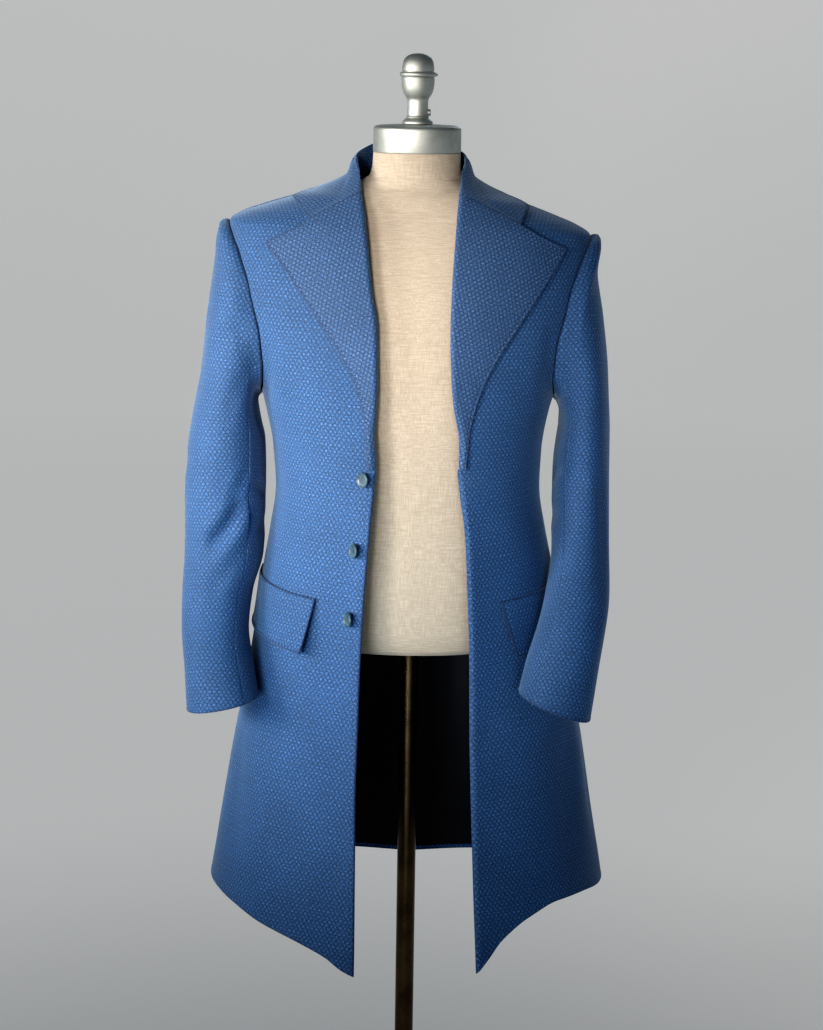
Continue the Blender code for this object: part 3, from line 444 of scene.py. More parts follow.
# Pocket flaps, the lean of the facings' cloth, and where the sleeves' cloth turns
FLAP_REAR_TURN = 97.0
FLAP_TOP_REAR = 1.003
FLAP_TOP_FRONT_OUT = 0.118
FLAP_TOP_FRONT = 0.987
FLAP_BOTTOM_REAR = 0.933
FLAP_BOTTOM_FRONT_OUT = 0.133
FLAP_BOTTOM_FRONT = 0.914
FLAP_STAND_OFF = {Side.RIGHT: 0.014, Side.LEFT: 0.0115}
FLAP_STAND_POWER = 5
FLAP_STAND_AT_TOP = 0.08
FLAP_LOWER_LIFT = 0.0014
FLAP_WELT = (0.001, 0.0032, 0.0022)
LAPEL_GRAIN = math.radians(27.0)
ELBOW_BEND = (-0.5, 1.5)

# The sleeve head's crown: where it begins and how fast, then its swell
CROWN_FROM = 1.37
CROWN_FADE = 0.06
CROWN = (0.0022, 0.0085, 0.007)

# Wool that shows on the inside: facing, hems and cuffs; the back's lining reaches its hem
FACING_WIDE = 0.085
HEM_DEEP = 0.04
BACK_HEM_SHOWS = 0.007
CUFF_DEEP = 0.045

# The lining's folds and centre pleat
LINING_LOOSE_FROM = 0.9
LINING_LOOSE_OVER = 0.1
LINING_FOLDS = 9.0
LINING_FOLD_LEAN = 2.0
LINING_FOLD_DEPTH = 0.003
LINING_PLEAT = (0.004, 0.004, 0.006)

# Hand stitching and the pressed edges
STITCH_IN = 0.0055
STITCH_APART = 0.0065
STITCH_SIZE = (0.001, 0.00045, 0.0004)
STITCH_SLACK = 0.0006
SEWN_FROM = 0.9
EDGE_ROLL = {Side.RIGHT: 0.0014, Side.LEFT: 0.0045}
EDGE_ROLL_POWER = 1.4
# Share of the edges' painted shade on each front; less on the left, whose edge is turned to the
# light
EDGE_SHADE = {Side.RIGHT: 1.0, Side.LEFT: 0.25}
EASE_OUT = {Side.RIGHT: 0.003, Side.LEFT: 0.0038}
EASE_FALL = 0.075
EASE_WIDE = 0.12
EASE_ABOVE = 0.004
EASE_ON_OVER = 0.006
STITCHED_ABOVE = 0.004
STITCHED_FADE = 0.012


@dataclass(frozen=True)
class CoatForm:
    """The coat's outer form on one side, in arrays that have points in the last axis."""

    side: Side

    @staticmethod
    def lean(x: Array, height: Array) -> Array:
        """How far the left shoulder drops and the right one rises."""
        reach = np.copysign(np.maximum(0.0, np.abs(x) - LEAN_FROM), x)
        return LEAN_SLOPE * reach * smooth_step((height - LEAN_LOW) / (LEAN_HIGH - LEAN_LOW))

    def place(self, out: Array, y: Array, height: Array) -> Array:
        """Points from their distance out from the coat's middle.

        Args:
            out: Distances from the middle.
            y: Places along Y.
            height: Heights, before it leans.

        Returns:
            The points.
        """
        out, y, height = np.broadcast_arrays(*(np.asarray(a, float) for a in (out, y, height)))
        x = self.side * out
        return np.stack(
            (x + BODY.at("shift", height), y, height - self.lean(x, height)), axis=-1
        )

    def body(self, turn: Array, height: Array) -> Array:
        """Points on the coat's outside, turn degrees round from the centre front.

        Args:
            turn: Degrees from the centre front.
            height: Heights, before it leans.

        Returns:
            The points.
        """
        turn, height = np.broadcast_arrays(np.asarray(turn, float), np.asarray(height, float))
        power = 2.0 / BODY.at("squareness", height)
        sine, cosine = rounded(turn, power)
        out = BODY.at("half_width", height) * sine
        depth = np.where(cosine > 0.0, BODY.at("front", height), BODY.at("back", height))
        y = -depth * cosine
        fall = np.clip((FLUTE_TOP - height) / (FLUTE_TOP - BACK_HEM), 0.0, None)
        behind = np.radians(np.maximum(turn - SIDE_SEAM_TURN, 0.0))
        wave = FLUTE_DEPTH * fall * np.sin(behind * FLUTES_ROUND) * np.sin(behind)
        out = out + wave * np.sin(np.radians(turn))
        y = y - wave * np.cos(np.radians(turn))
        return self.place(out, y, height)

    def normal(self, turn: Array, height: Array) -> Array:
        """Outward directions of the coat's outside.

        Args:
            turn: Degrees from the centre front.
            height: Heights, before it leans.

        Returns:
            A direction of length 1 for each place.
        """
        along = self.body(turn + TURN_STEP, height)
        along = along - self.body(turn - TURN_STEP, height)
        up = self.body(turn, height + STEP) - self.body(turn, height - STEP)
        return units(np.cross(along, up)) * float(self.side)

    @staticmethod
    def turn_of(out: Array, height: Array) -> Array:
        """Degrees round the front at which the coat is this far out."""
        share = np.minimum(1.0, out / BODY.at("half_width", height))
        return np.degrees(np.arcsin(share ** (BODY.at("squareness", height) / 2.0)))

    def edge_out(self, height: Array) -> Array:
        """Distance of a front's own edge from the coat's middle.

        Args:
            height: Heights, before it leans.

        Returns:
            The distances.
        """
        rolled = smooth_step((height - BREAK) / ROLL_OPENS_OVER)
        rolled = rolled * smooth_step((NECK_POINT - height) / ROLL_ENDS_OVER)
        return FRONT_EDGE.at(self.side.word, height) + (ROLL_RADIUS + WALL) * rolled

    def front_edge(self, down: Array) -> Places:
        """Turn and height of a front's edge.

        Args:
            down: Shares down the edge.

        Returns:
            The turns and the heights.
        """
        down = np.asarray(down, float)
        hem = FRONT_HEM.at(self.side.word, 0.0)
        share = (down - ARMHOLE_SHARE) / (1.0 - ARMHOLE_SHARE)
        low = mix(EDGE_FALL.at("height", ARMHOLE_SHARE), hem, share)
        height = np.where(down > ARMHOLE_SHARE, low, EDGE_FALL.at("height", down))
        return self.turn_of(self.edge_out(height), height), height

    @staticmethod
    def side_edge(down: Array, column: str) -> Places:
        """Turn and height of a panel's armhole and side seam.

        Args:
            down: Shares down the edge.
            column: Whose turns of the armhole's table.

        Returns:
            The turns and the heights.
        """
        down = np.asarray(down, float)
        share = (down - ARMHOLE_SHARE) / (1.0 - ARMHOLE_SHARE)
        below = down > ARMHOLE_SHARE
        turn = np.where(below, SIDE_SEAM_TURN, ARMHOLE.at(column, down))
        height = np.where(below, mix(UNDERARM, SIDE_HEM, share), ARMHOLE.at("height", down))
        return turn, height

    @staticmethod
    def patch(
        across: Array, down: Array, inner: Callable, outer: Callable, top: Callable,
        bottom: Callable,
    ) -> Places:
        """Turn and height inside a panel, from those of its four edges.

        Args:
            across: Shares from the inner edge to the outer one.
            down: Shares from the top to the bottom.
            inner: Turn and height of the inner edge at a share down.
            outer: Those of the outer edge.
            top: Those of the top at a share across.
            bottom: Those of the bottom.

        Returns:
            The turns and the heights.
        """
        sides = [mix(inner(down)[k], outer(down)[k], across) for k in (0, 1)]
        above, below = (1.0 - down) ** TOP_KEEP, down**HEM_KEEP
        for edge, at, keep in ((top, 0.0, above), (bottom, 1.0, below)):
            wanted = edge(across)
            for k in (0, 1):
                corner = mix(inner(at)[k], outer(at)[k], across)
                sides[k] = sides[k] + keep * (wanted[k] - corner)
        return sides[0], sides[1]

    def front(self, across: Array, down: Array) -> Array:
        """Points on a front, from its front edge (0) to its armhole and side (1).

        Args:
            across: Shares across.
            down: Shares down.

        Returns:
            The points.
        """
        turn, height = self.patch(
            across,
            down,
            self.front_edge,
            lambda share: self.side_edge(share, "front_turn"),
            lambda share: (np.full_like(share, 90.0), mix(NECK_POINT, SHOULDER_POINT, share)),
            lambda share: (
                mix(self.front_edge(1.0)[0], SIDE_SEAM_TURN, share),
                FRONT_HEM.at(self.side.word, share),
            ),
        )
        points = self.body(turn, height)
        edge = self.body(*self.front_edge(down))
        away = np.hypot(points[..., 0] - edge[..., 0], points[..., 1] - edge[..., 1])
        curl = np.maximum(0.0, 1.0 - away / CURL_REACH) ** 2
        points[..., 1] -= EDGE_CURL.at("lift", height) * curl
        return points

    def back(self, across: Array, down: Array) -> Array:
        """Points on a back, from the centre-back seam (0) to its armhole and side (1).

        Args:
            across: Shares across.
            down: Shares down.

        Returns:
            The points.
        """

        def top(share: Array) -> Places:
            """Turn and height along the back neck and the shoulder seam.

            Args:
                share: Shares across, from the centre back.

            Returns:
                The turns and the heights.
            """
            neck = share / BACK_NECK_SHARE
            slope = (share - BACK_NECK_SHARE) / (1.0 - BACK_NECK_SHARE)
            at_neck = share < BACK_NECK_SHARE
            turn = np.where(at_neck, mix(180.0, 90.0, neck), 90.0)
            height = mix(BACK_NECK, NECK_POINT, smooth_step(neck))
            return turn, np.where(at_neck, height, mix(NECK_POINT, SHOULDER_POINT, slope))

        turn, height = self.patch(
            across,
            down,
            lambda share: (180.0 + 0.0 * np.asarray(share), mix(BACK_NECK, BACK_HEM, share)),
            lambda share: self.side_edge(share, "back_turn"),
            top,
            lambda share: (mix(180.0, SIDE_SEAM_TURN, share), mix(BACK_HEM, SIDE_HEM, share)),
        )
        return self.body(turn, height)

    def lapel(self, across: Array, up: Array) -> Array:
        """Points on a lapel's outside: round its roll, then over the chest.

        Args:
            across: Shares from the roll line.
            up: Shares from the break to the gorge.

        Returns:
            The points.
        """
        roll_height = mix(BREAK, GORGE, up)
        roll_out = self.edge_out(roll_height)
        radius = mix(ROLL_RADIUS_AT_BREAK, ROLL_RADIUS, smooth_step(up / ROLL_GROWS_OVER))
        turn = self.turn_of(roll_out, roll_height)
        normal = self.normal(turn, roll_height)
        inward = np.broadcast_to(np.array((-float(self.side), 0.0, 0.0)), normal.shape)
        inward = units(inward - normal * dot(inward, normal)[..., None])
        bend = (math.pi * np.minimum(across, ROLL_SHARE) / ROLL_SHARE)[..., None]
        outside = (radius + WALL)[..., None]
        middle = self.body(turn, roll_height) + normal * radius[..., None]
        rolled = middle - normal * outside * np.cos(bend) + inward * outside * np.sin(bend)
        share = np.clip((across - ROLL_SHARE) / (1.0 - ROLL_SHARE), 0.0, 1.0)
        out = mix(roll_out, LAPEL_EDGE.at(f"{self.side.word}_out", up), share)
        height = mix(roll_height, LAPEL_EDGE.at(f"{self.side.word}_height", up), share)
        turn = self.turn_of(out, height)
        resting = WALL + LAYER_GAP
        lift = resting + (2.0 * radius + WALL - resting) * (1.0 - share) ** 2
        lift = lift + LAPEL_PUFF * np.sin(math.pi * share)
        lying = self.body(turn, height)
        lying = lying + self.normal(turn, height) * lift[..., None]
        return np.where((across <= ROLL_SHARE)[..., None], rolled, lying)

    @staticmethod
    def level(points: Array) -> Array:
        """0 on the coat's outside, more than 0 outside it.

        Args:
            points: Any points near the coat.

        Returns:
            A level for each point.
        """
        shift = BODY.at("shift", points[..., 2])
        height = points[..., 2] + CoatForm.lean(points[..., 0] - shift, points[..., 2])
        out = np.abs(points[..., 0] - shift) / BODY.at("half_width", height)
        ends = np.where(points[..., 1] < 0.0, BODY.at("front", height), BODY.at("back", height))
        square = BODY.at("squareness", height)
        return (out**square + (np.abs(points[..., 1]) / ends) ** square) ** (1.0 / square) - 1.0

    @classmethod
    def lifted(cls, points: Array, clearance: float) -> Array:
        """The points, moved out where they are nearer the coat's outside than clearance.

        Args:
            points: The points.
            clearance: Least distance from the coat's outside.

        Returns:
            The moved points.
        """
        for _ in range(LIFT_ROUNDS):
            slope = np.stack(
                [(cls.level(points + s) - cls.level(points - s)) / (2 * STEP)
                 for s in np.eye(3) * STEP],
                axis=-1,
            )
            steep = np.linalg.norm(slope, axis=-1)
            short = np.maximum(0.0, clearance - cls.level(points) / steep)
            points = points + units(slope) * short[..., None]
        return points

    def neck_seam(self, along: Array) -> Array:
        """The neckline, from the centre back (0) by the shoulder to the gorge (1).

        Args:
            along: Shares along the neckline.

        Returns:
            The points.
        """
        share = np.minimum(along / NECK_SEAM_SHARE, 1.0)
        turn = mix(180.0, 90.0, share)
        height = mix(BACK_NECK, NECK_POINT, smooth_step(share))
        ahead = (along - NECK_SEAM_SHARE) / (1.0 - NECK_SEAM_SHARE)
        down = NECKLINE_SHARE * np.clip(ahead, 0.0, 1.0)
        turn_2, height_2 = self.front_edge(down)
        behind = along <= NECK_SEAM_SHARE
        return self.body(np.where(behind, turn, turn_2), np.where(behind, height, height_2))

    def gorge(self, up: Array) -> Array:
        """The collar's end: along the lapel's top, then out to the collar's corner.

        Args:
            up: Shares from the neck seam.

        Returns:
            The points.
        """
        notch = ROLL_SHARE + (1.0 - ROLL_SHARE) * NOTCH_SHARE[self.side]
        rolling = ROLL_SHARE * up / GORGE_ROLL_END
        lying = (up - GORGE_ROLL_END) / (GORGE_NOTCH_END - GORGE_ROLL_END)
        across = np.where(up <= GORGE_ROLL_END, rolling, mix(ROLL_SHARE, notch, lying))
        across = np.clip(across, 0.0, notch)
        points = self.lapel(across, np.ones_like(up))
        turn = self.turn_of(COLLAR_CORNER_OUT, COLLAR_CORNER_HEIGHT)
        corner = self.body(turn, COLLAR_CORNER_HEIGHT)
        corner = corner + self.normal(turn, COLLAR_CORNER_HEIGHT) * (WALL + COLLAR_GAP)
        share = (up - GORGE_NOTCH_END) / (1.0 - GORGE_NOTCH_END)
        return mix(points, corner, np.clip(share, 0.0, 1.0)[..., None])

    def collar_column(self, along: Array, up: Array) -> Array:
        """Points of the collar at its stations, from the neck seam (0) to its edge (1).

        Args:
            along: Shares from the centre back.
            up: Shares from the neck seam.

        Returns:
            The points.
        """

        def at(name: str) -> Array:
            """Points of a line of the collar's table."""
            return self.place(*(COLLAR.at(f"{name}_{way}", along)
                                for way in ("out", "back", "height")))

        seam = self.neck_seam(along)
        fold, fall, edge = at("fold"), at("fall"), at("edge")
        bend = mix(fold, mix(seam, fall, 0.5), FOLD_DROP)
        way = units(mix(fold, fall, FOLD_DROP) - mix(fold, seam, FOLD_DROP)) * FOLD_HALF
        inner = bend - way + units(seam - fold) * FOLD_ROUND
        outer = bend + way + units(fall - fold) * FOLD_ROUND
        rows = np.stack((seam, inner, fold, outer, fall, edge))
        slopes = slopes_of(COLLAR_KEYS, rows)
        return np.stack(
            [hermite(COLLAR_KEYS, rows[..., k], slopes[..., k], up) for k in range(3)], axis=-1
        )

    @classmethod
    def collar(cls, across: Array, up: Array) -> Array:
        """Points on the collar, from the right gorge (-1) to the left one (1).

        Args:
            across: Shares from the right gorge to the left one.
            up: Shares from the neck seam.

        Returns:
            The points.
        """
        last = COLLAR.keys[-1]
        along = np.abs(across)
        halves = []
        for half in (CoatForm(Side.RIGHT), CoatForm(Side.LEFT)):
            points = half.collar_column(np.minimum(along, last), up)
            share = np.clip((along - last) / (1.0 - last), 0.0, 1.0)[..., None]
            points = mix(points, half.gorge(up), share)
            halves.append(np.where((up > COLLAR_LIES_FROM)[..., None],
                                   cls.lifted(points, WALL + COLLAR_GAP), points))
        return np.where((across < 0.0)[..., None], *halves)

    def hole(self, turn: Array) -> Array:
        """Points on the armhole, turn degrees round the sleeve from the shoulder.

        Args:
            turn: Degrees round the sleeve.

        Returns:
            The points.
        """
        turn = turn % 360.0
        ahead = turn <= 180.0
        down = HOLE_TURNS.at("down", np.where(ahead, turn, 360.0 - turn))
        fore, height = self.side_edge(down, "front_turn")
        hind, _ = self.side_edge(down, "back_turn")
        return self.body(np.where(ahead, fore, hind), height)

    def ring(self, turn: Array, down: Array) -> Array:
        """Points on the sleeve's rings, from the outer side (0) by the front (90).

        Args:
            turn: Degrees round the sleeve.
            down: Shares down the sleeve.

        Returns:
            The points.
        """
        forward, outward = rounded(turn, 2.0 / SLEEVE_SQUARENESS)
        table, share = RINGS[self.side], (1.0 + outward) / 2.0
        return np.stack(
            (
                mix(table.at("inner_x", down), table.at("outer_x", down), share),
                table.at("middle_y", down) - table.at("half_depth", down) * forward,
                mix(table.at("inner_z", down), table.at("outer_z", down), share),
            ),
            axis=-1,
        )

    def sleeve(self, turn: Array, down: Array) -> Array:
        """Points on a sleeve's outside, from the armhole (0) to the cuff (1).

        Args:
            turn: Degrees round the sleeve.
            down: Shares down the sleeve.

        Returns:
            The points.
        """
        kept = (1.0 - smooth_step(down / HOLE_FADE))[..., None]
        start = self.ring(turn, np.zeros_like(down))
        return self.ring(turn, down) + kept * (self.hole(turn) - start)

    @classmethod
    def torso(cls, turn: Array, height: Array) -> Array:
        """Points on the dress form, all round from the centre front.

        Args:
            turn: Degrees from the centre front.
            height: Heights, before it leans.

        Returns:
            The points.
        """
        turn = turn % 360.0
        side = np.where(turn <= 180.0, 1.0, -1.0)
        turn = np.minimum(turn, 360.0 - turn)
        row = [TORSO.at(name, height) for name in ("half_width", "front", "back")]
        under = height + WALL + TORSO_LOOK_UP
        coat = [BODY.at(name, under) for name in ("half_width", "front", "back")]
        aside = BODY.at("shift", under)
        shift = aside * smooth_step((height - UNDERARM) / TORSO_SHIFT_OVER)
        shift = shift * smooth_step((BACK_NECK - height) / TORSO_SHIFT_OFF)
        coat[0] = coat[0] + side * (aside - shift)
        within = (height > UNDERARM) & (height < NECK_POINT)
        bare = smooth_step((height - NECK_BARE_FROM) / (NECK_POINT - NECK_BARE_FROM))
        bare = bare * smooth_step((NECK_BARE_TURN - turn) / NECK_BARE_FADE)
        row = [
            np.where(within, own + (np.minimum(own, outer - by) - own) * (1.0 - free), own)
            for own, outer, by, free in zip(row, coat, TORSO_INSIDE, (0.0, bare, 0.0))
        ]
        shift = np.where(within, shift, 0.0)
        sine, cosine = rounded(turn, 2.0 / TORSO_SQUARENESS)
        x = side * row[0] * sine
        y = -np.where(cosine > 0.0, row[1], row[2]) * cosine
        return np.stack((x + shift, y, height - cls.lean(x, height)), axis=-1)


class Edge(Enum):
    """How a border of a cloth piece is finished."""

    JOINED = "runs on into the next piece"
    SEAM = "sewn to the next piece"
    PRESSED = "sewn to the next piece and pressed flat"
    TURNED = "turned in and pressed"
    STITCHED = "turned in and pick stitched"


class SleevePart(Enum):
    """The two parts that a sleeve is cut in, with the turns that each spans."""

    TOP = (HIND_SEAM - 360.0, FORE_SEAM)
    UNDER = (FORE_SEAM, HIND_SEAM)


NEAR_FOLD = (0.0, 0.0004, 0.0009, 0.0017, 0.0027, 0.0038, 0.0047, 0.0055, 0.0063, 0.0074, 0.0092)
FLATTEN_ROUNDS = 30
NEAR_SEAM = (0.0, 0.0009, 0.0019, 0.0032, 0.005)
NEAR = {
    Edge.JOINED: NEAR_SEAM,
    Edge.SEAM: NEAR_SEAM,
    Edge.PRESSED: NEAR_SEAM,
    Edge.TURNED: NEAR_FOLD,
    Edge.STITCHED: NEAR_FOLD,
}
FOLD_RADIUS = 0.0009
# Painted shade along the edges: how far it reaches, the painted shade of a stitch line and its
# width, and the darkest painted shade of each finish
SHADE_REACH = 0.0032
STITCH_SHADE = 0.4
STITCH_SHADE_WIDE = 0.0009
SHADES = {
    Edge.JOINED: 0.0,
    Edge.SEAM: 0.84,
    Edge.PRESSED: 0.1,
    Edge.TURNED: 0.66,
    Edge.STITCHED: 0.86,
}

# Swells of the cloth beside each kind of border: depth, distance from it and width
SWELLS = {
    Edge.JOINED: (),
    Edge.SEAM: ((0.00035, 0.0058, 0.0034), (-0.0004, 0.0, 0.0022)),
    Edge.PRESSED: ((-0.0002, 0.0, 0.003),),
    Edge.TURNED: ((0.0003, 0.0027, 0.0017),),
    Edge.STITCHED: (
        (0.0003, 0.0027, 0.0017),
        (-0.0005, STITCH_IN, 0.0011),
        (0.0002, 0.0085, 0.002),
    ),
}

# How far each face draws in at a sewn border, over what reach and by what power
DRAWN_IN = {
    Edge.JOINED: (0.0, 1.0, 1),
    Edge.SEAM: (0.0008, 0.0019, 2),
    Edge.PRESSED: (0.0002, 0.0012, 1),
}

# Slow waves of hung cloth: turns along and over each metre, phase and share
WAVES = (
    (3.1, 4.3, 0.4, 0.45),
    (-4.2, 2.2, 1.9, 0.4),
    (1.3, 7.7, 2.7, 0.25),
    (7.9, -3.0, 5.1, 0.2),
)

# A crease's steps, the fade of its ends, and its raised sides in crease widths
CREASE_STEPS = 48
CREASE_FADE = 0.4
CREASE_START = 0.15
RIDGE_OUT = 2.0
RIDGE_WIDE = 1.1

# Steps along which a piece is measured, and where the rows of its points that are sewn
# hold their border distances, after places and normals
MEASURED_STEPS = 401
FIRST_GAP = 6


def hump(distance: Array, at: float, width: float) -> Array:
    """1 at a distance, fading to 0 on both sides of it."""
    return np.exp(-(((distance - at) / width) ** 2))


def swell(gap: Array, shape: Triple) -> Array:
    """A hump of a given depth, distance and width."""
    return shape[0] * hump(gap, *shape[1:])


def grid_lines(length: float, spacing: float, first: Edge, last: Edge) -> Array:
    """Where grid lines stand along a length, closer together near its ends.

    Args:
        length: The length in metres.
        spacing: Distance between the lines away from the ends.
        first: Finish of the border at 0.
        last: Finish of the border at the far end.

    Returns:
        Distances from 0 to length.
    """
    near, far = np.array(NEAR[first]), length - np.array(NEAR[last])[::-1]
    count = max(2, round((far[0] - near[-1]) / spacing))
    return np.concatenate((near, np.linspace(near[-1], far[0], count + 1)[1:-1], far))


@dataclass(frozen=True)
class Crease:
    """A soft trough between two places of a piece, given as shares across and down it."""

    across_0: float
    down_0: float
    across_1: float
    down_1: float
    width: float
    depth: float
    bow: float = 0.0
    ridge: float = 0.45

    def depth_at(self, piece: "ClothPiece", points: Array) -> Array:
        """How far the trough and its raised sides move each point.

        Args:
            piece: The piece that it crosses.
            points: The piece's points.

        Returns:
            Distances along the normals, down in the trough and up beside it.
        """
        t = np.linspace(0.0, 1.0, CREASE_STEPS)
        across = mix(self.across_0, self.across_1, t) + self.bow * np.sin(math.pi * t)
        line = piece.surface(across, mix(self.down_0, self.down_1, t))
        gaps = np.linalg.norm(points[..., None, :] - line, axis=-1)
        nearest = gaps.argmin(axis=-1)
        gap, place = gaps.min(axis=-1), t[nearest]
        fade = smooth_step(np.minimum(place, 1.0 - place) / CREASE_FADE + CREASE_START)
        trough = hump(gap, 0.0, self.width)
        sides = hump(gap, RIDGE_OUT * self.width, RIDGE_WIDE * self.width)
        return self.depth * fade * (self.ridge * sides - trough)


@dataclass
class ClothPiece:
    """A piece of cloth: a thin shell over its solid's form."""

    node: str
    side: Side
    flat: Pair
    area: float
    spacing: Pair = (0.0045, 0.0045)
    thickness: float = WALL
    wave: float = 0.0006
    creases: Sequence[Sequence[float]] = ()
    span: Pair = (0.0, 1.0)
    fall: Pair = (0.0, 1.0)
    measured_at: Pair = (0.5, 0.5)
    borders: tuple[Edge, Edge, Edge, Edge] = (Edge.SEAM,) * 4
    faced: Pair = (0.0, 0.0)

    def surface(self, across: Array, down: Array) -> Array:
        """Points of the piece's outside."""
        raise NotImplementedError

    @property
    def turned_over(self) -> float:
        """1 or -1, so that the normals point out."""
        return float(self.side)

    def grain_up(self, points: Array, normals: Array) -> Array:
        """The way that the cloth's warp runs."""
        return np.broadcast_to(np.array((0.0, 0.0, 1.0)), points.shape)

    @property
    def edge_shade(self) -> float:
        """How much of the usual painted shade its edges take."""
        return 1.0

    def finish_share(self, border: int, points: Array) -> Array:
        """How much of a border's finish each point takes."""
        return np.ones(points.shape[:2])

    def extra_form(self, points: Array, gaps: Array) -> Array:
        """Further form of the piece, along its normals."""
        return np.zeros(points.shape[:2])

    def facing(self, gaps: Array) -> Array:
        """Where the inside shows wool and not satin."""
        return (gaps[0] < self.faced[0]) | (gaps[3] < self.faced[1])

    def shares(self, axis: int) -> Array:
        """Places of the grid lines along one axis of the piece.

        Args:
            axis: 0 for across, 1 for down.

        Returns:
            Values of that axis's share.
        """
        ends = (self.span, self.fall)[axis]
        other = mix(*(self.fall, self.span)[axis], self.measured_at[axis])
        fine = np.linspace(*ends, MEASURED_STEPS)
        flat = np.full_like(fine, other)
        points = self.surface(fine, flat) if axis == 0 else self.surface(flat, fine)
        arc = np.concatenate(((0.0,), np.linalg.norm(np.diff(points, axis=0), axis=-1).cumsum()))
        edges = self.borders[2 * axis], self.borders[2 * axis + 1]
        return np.interp(grid_lines(arc[-1], self.spacing[axis], *edges), arc, fine)

    def form(self) -> tuple[Array, Array, Array, Array, Array]:
        """The piece's points, its distances from the borders, its grain and its edges' painted
        shade.

        Returns:
            Outside and inside points; four distances, two grain coordinates and a painted shade
            per point.
        """
        across, down = np.meshgrid(self.shares(0), self.shares(1))
        points = self.surface(across, down)
        normals = units(np.cross(np.gradient(points, axis=1), np.gradient(points, axis=0)))
        normals = normals * self.turned_over
        gaps = border_gaps(points)
        form, rim, painted_shade = np.zeros((3, *across.shape))
        for k, edge in enumerate(self.borders):
            share = self.finish_share(k, points)
            bend, thin = edge_form(edge, gaps[k])
            form += bend * share
            rim = np.maximum(rim, thin * share)
            # Painted shade: the colour is darkened towards each finished edge and along a stitch
            # line
            wear_and_painted_shade = SHADES[edge] * np.clip(1.0 - gaps[k] / SHADE_REACH, 0.0, 1.0)
            wear_and_painted_shade = wear_and_painted_shade * self.edge_shade
            if edge is Edge.STITCHED:
                line = (STITCH_SHADE, STITCH_IN, STITCH_SHADE_WIDE)
                wear_and_painted_shade = np.maximum(wear_and_painted_shade, swell(gaps[k], line))
            painted_shade = np.maximum(painted_shade, wear_and_painted_shade * share)
        grain = flattened(points, normals, self.grain_up(points, normals))
        for along, over, phase, share in WAVES:
            angle = 2.0 * math.pi * (along * grain[0] + over * grain[1]) + phase
            form += self.wave * share * np.sin(angle)
        for crease in self.creases:
            form += Crease(*crease).depth_at(self, points)
        form += self.extra_form(points, gaps)
        outside = points + normals * (form - rim)[..., None]
        inside = points + normals * (form - self.thickness + rim)[..., None]
        return outside, inside, gaps, grain, painted_shade

    def cloth(self, finishes: "Finishes") -> Material:
        """The material of its face."""
        return finishes.wool

    def build(self, finishes: "Finishes") -> Object:
        """Makes the piece's object.

        Args:
            finishes: The materials.

        Returns:
            The object, riding on the coat.
        """
        outside, inside, gaps, grain, painted_shade = self.form()
        thing = shell(self.node + "_cloth", outside, inside, grain, painted_shade, self.facing(gaps))
        thing.data.materials.append(self.cloth(finishes))
        thing.data.materials.append(finishes.satin)
        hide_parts(self.node)
        settle(thing)
        self.sew(outside, gaps, finishes)
        return thing

    def sew(self, outside: Array, gaps: Array, finishes: "Finishes") -> None:
        """Sews the pick stitches along the piece's stitched borders.

        Args:
            outside: Points of its outside.
            gaps: Their distances from the borders.
            finishes: The materials.
        """
        mesh = bmesh.new()
        normals = units(np.cross(np.gradient(outside, axis=1), np.gradient(outside, axis=0)))
        normals = normals * self.turned_over
        every = np.concatenate((outside, normals, np.moveaxis(gaps, 0, 2)), axis=2)
        for k, edge in enumerate(self.borders):
            if edge is Edge.STITCHED:
                sewn = self.finish_share(k, outside) > SEWN_FROM
                for place, way, out in stitch_places(every, k, sewn):
                    mesh_stitch(mesh, place, way, out)
        if mesh.verts:
            thing = made_object(mesh, self.node + "_stitches", finishes.thread, None)
            settle(thing)
        else:
            mesh.free()


def stitch_places(every: Array, border: int, sewn: Array) -> list[tuple[Array, Array, Array]]:
    """Where the stitches along a border stand.

    Args:
        every: Places, normals and four border distances of a grid's points, in the last axis.
        border: The border that they follow.
        sewn: Which of the grid's points are sewn.

    Returns:
        A place, a direction along the border and a normal for each stitch.
    """
    rows, kept = (every, sewn) if border < 2 else (np.swapaxes(every, 0, 1), sewn.T)
    if border % 2:
        rows, kept = rows[:, ::-1], kept[:, ::-1]
    line = np.array([
        [np.interp(STITCH_IN, row[:, FIRST_GAP + border], row[:, k])
         for k in range(every.shape[2])]
        for row in rows
    ])
    others = [FIRST_GAP + k for k in range(4) if k != border]
    line = line[kept[:, 0] & (line[:, others].min(axis=1) > STITCH_IN - STITCH_SLACK)]
    if len(line) < 2:
        return []
    run = np.concatenate(((0.0,), np.linalg.norm(np.diff(line[:, :3], axis=0), axis=1).cumsum()))
    at = np.arange(STITCH_APART / 2.0, run[-1], STITCH_APART)
    spots = np.stack([np.interp(at, run, line[:, k]) for k in range(FIRST_GAP)], axis=1)
    ways = units(np.gradient(spots[:, :3], axis=0))
    return list(zip(spots[:, :3], ways, units(spots[:, 3:])))


def mesh_stitch(mesh: BMesh, place: Array, way: Array, out: Array) -> None:
    """Adds one stitch, a small flat bead half sunk in the cloth.

    Args:
        mesh: The mesh that takes it.
        place: Its middle.
        way: The direction of its thread.
        out: The cloth's normal.
    """
    beside = units(np.cross(out, way))
    turn = Matrix((way, beside, np.cross(way, beside))).transposed().to_4x4()
    size = Matrix.Diagonal((*STITCH_SIZE, 1.0))
    bmesh.ops.create_icosphere(
        mesh, subdivisions=1, radius=1.0, matrix=Matrix.Translation(place) @ turn @ size
    )


def settle(thing: Object) -> None:
    """Makes a piece ride on the object and reports it."""
    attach(thing, "root")
    LOG.info("%s: %d faces", thing.name, len(thing.data.polygons))


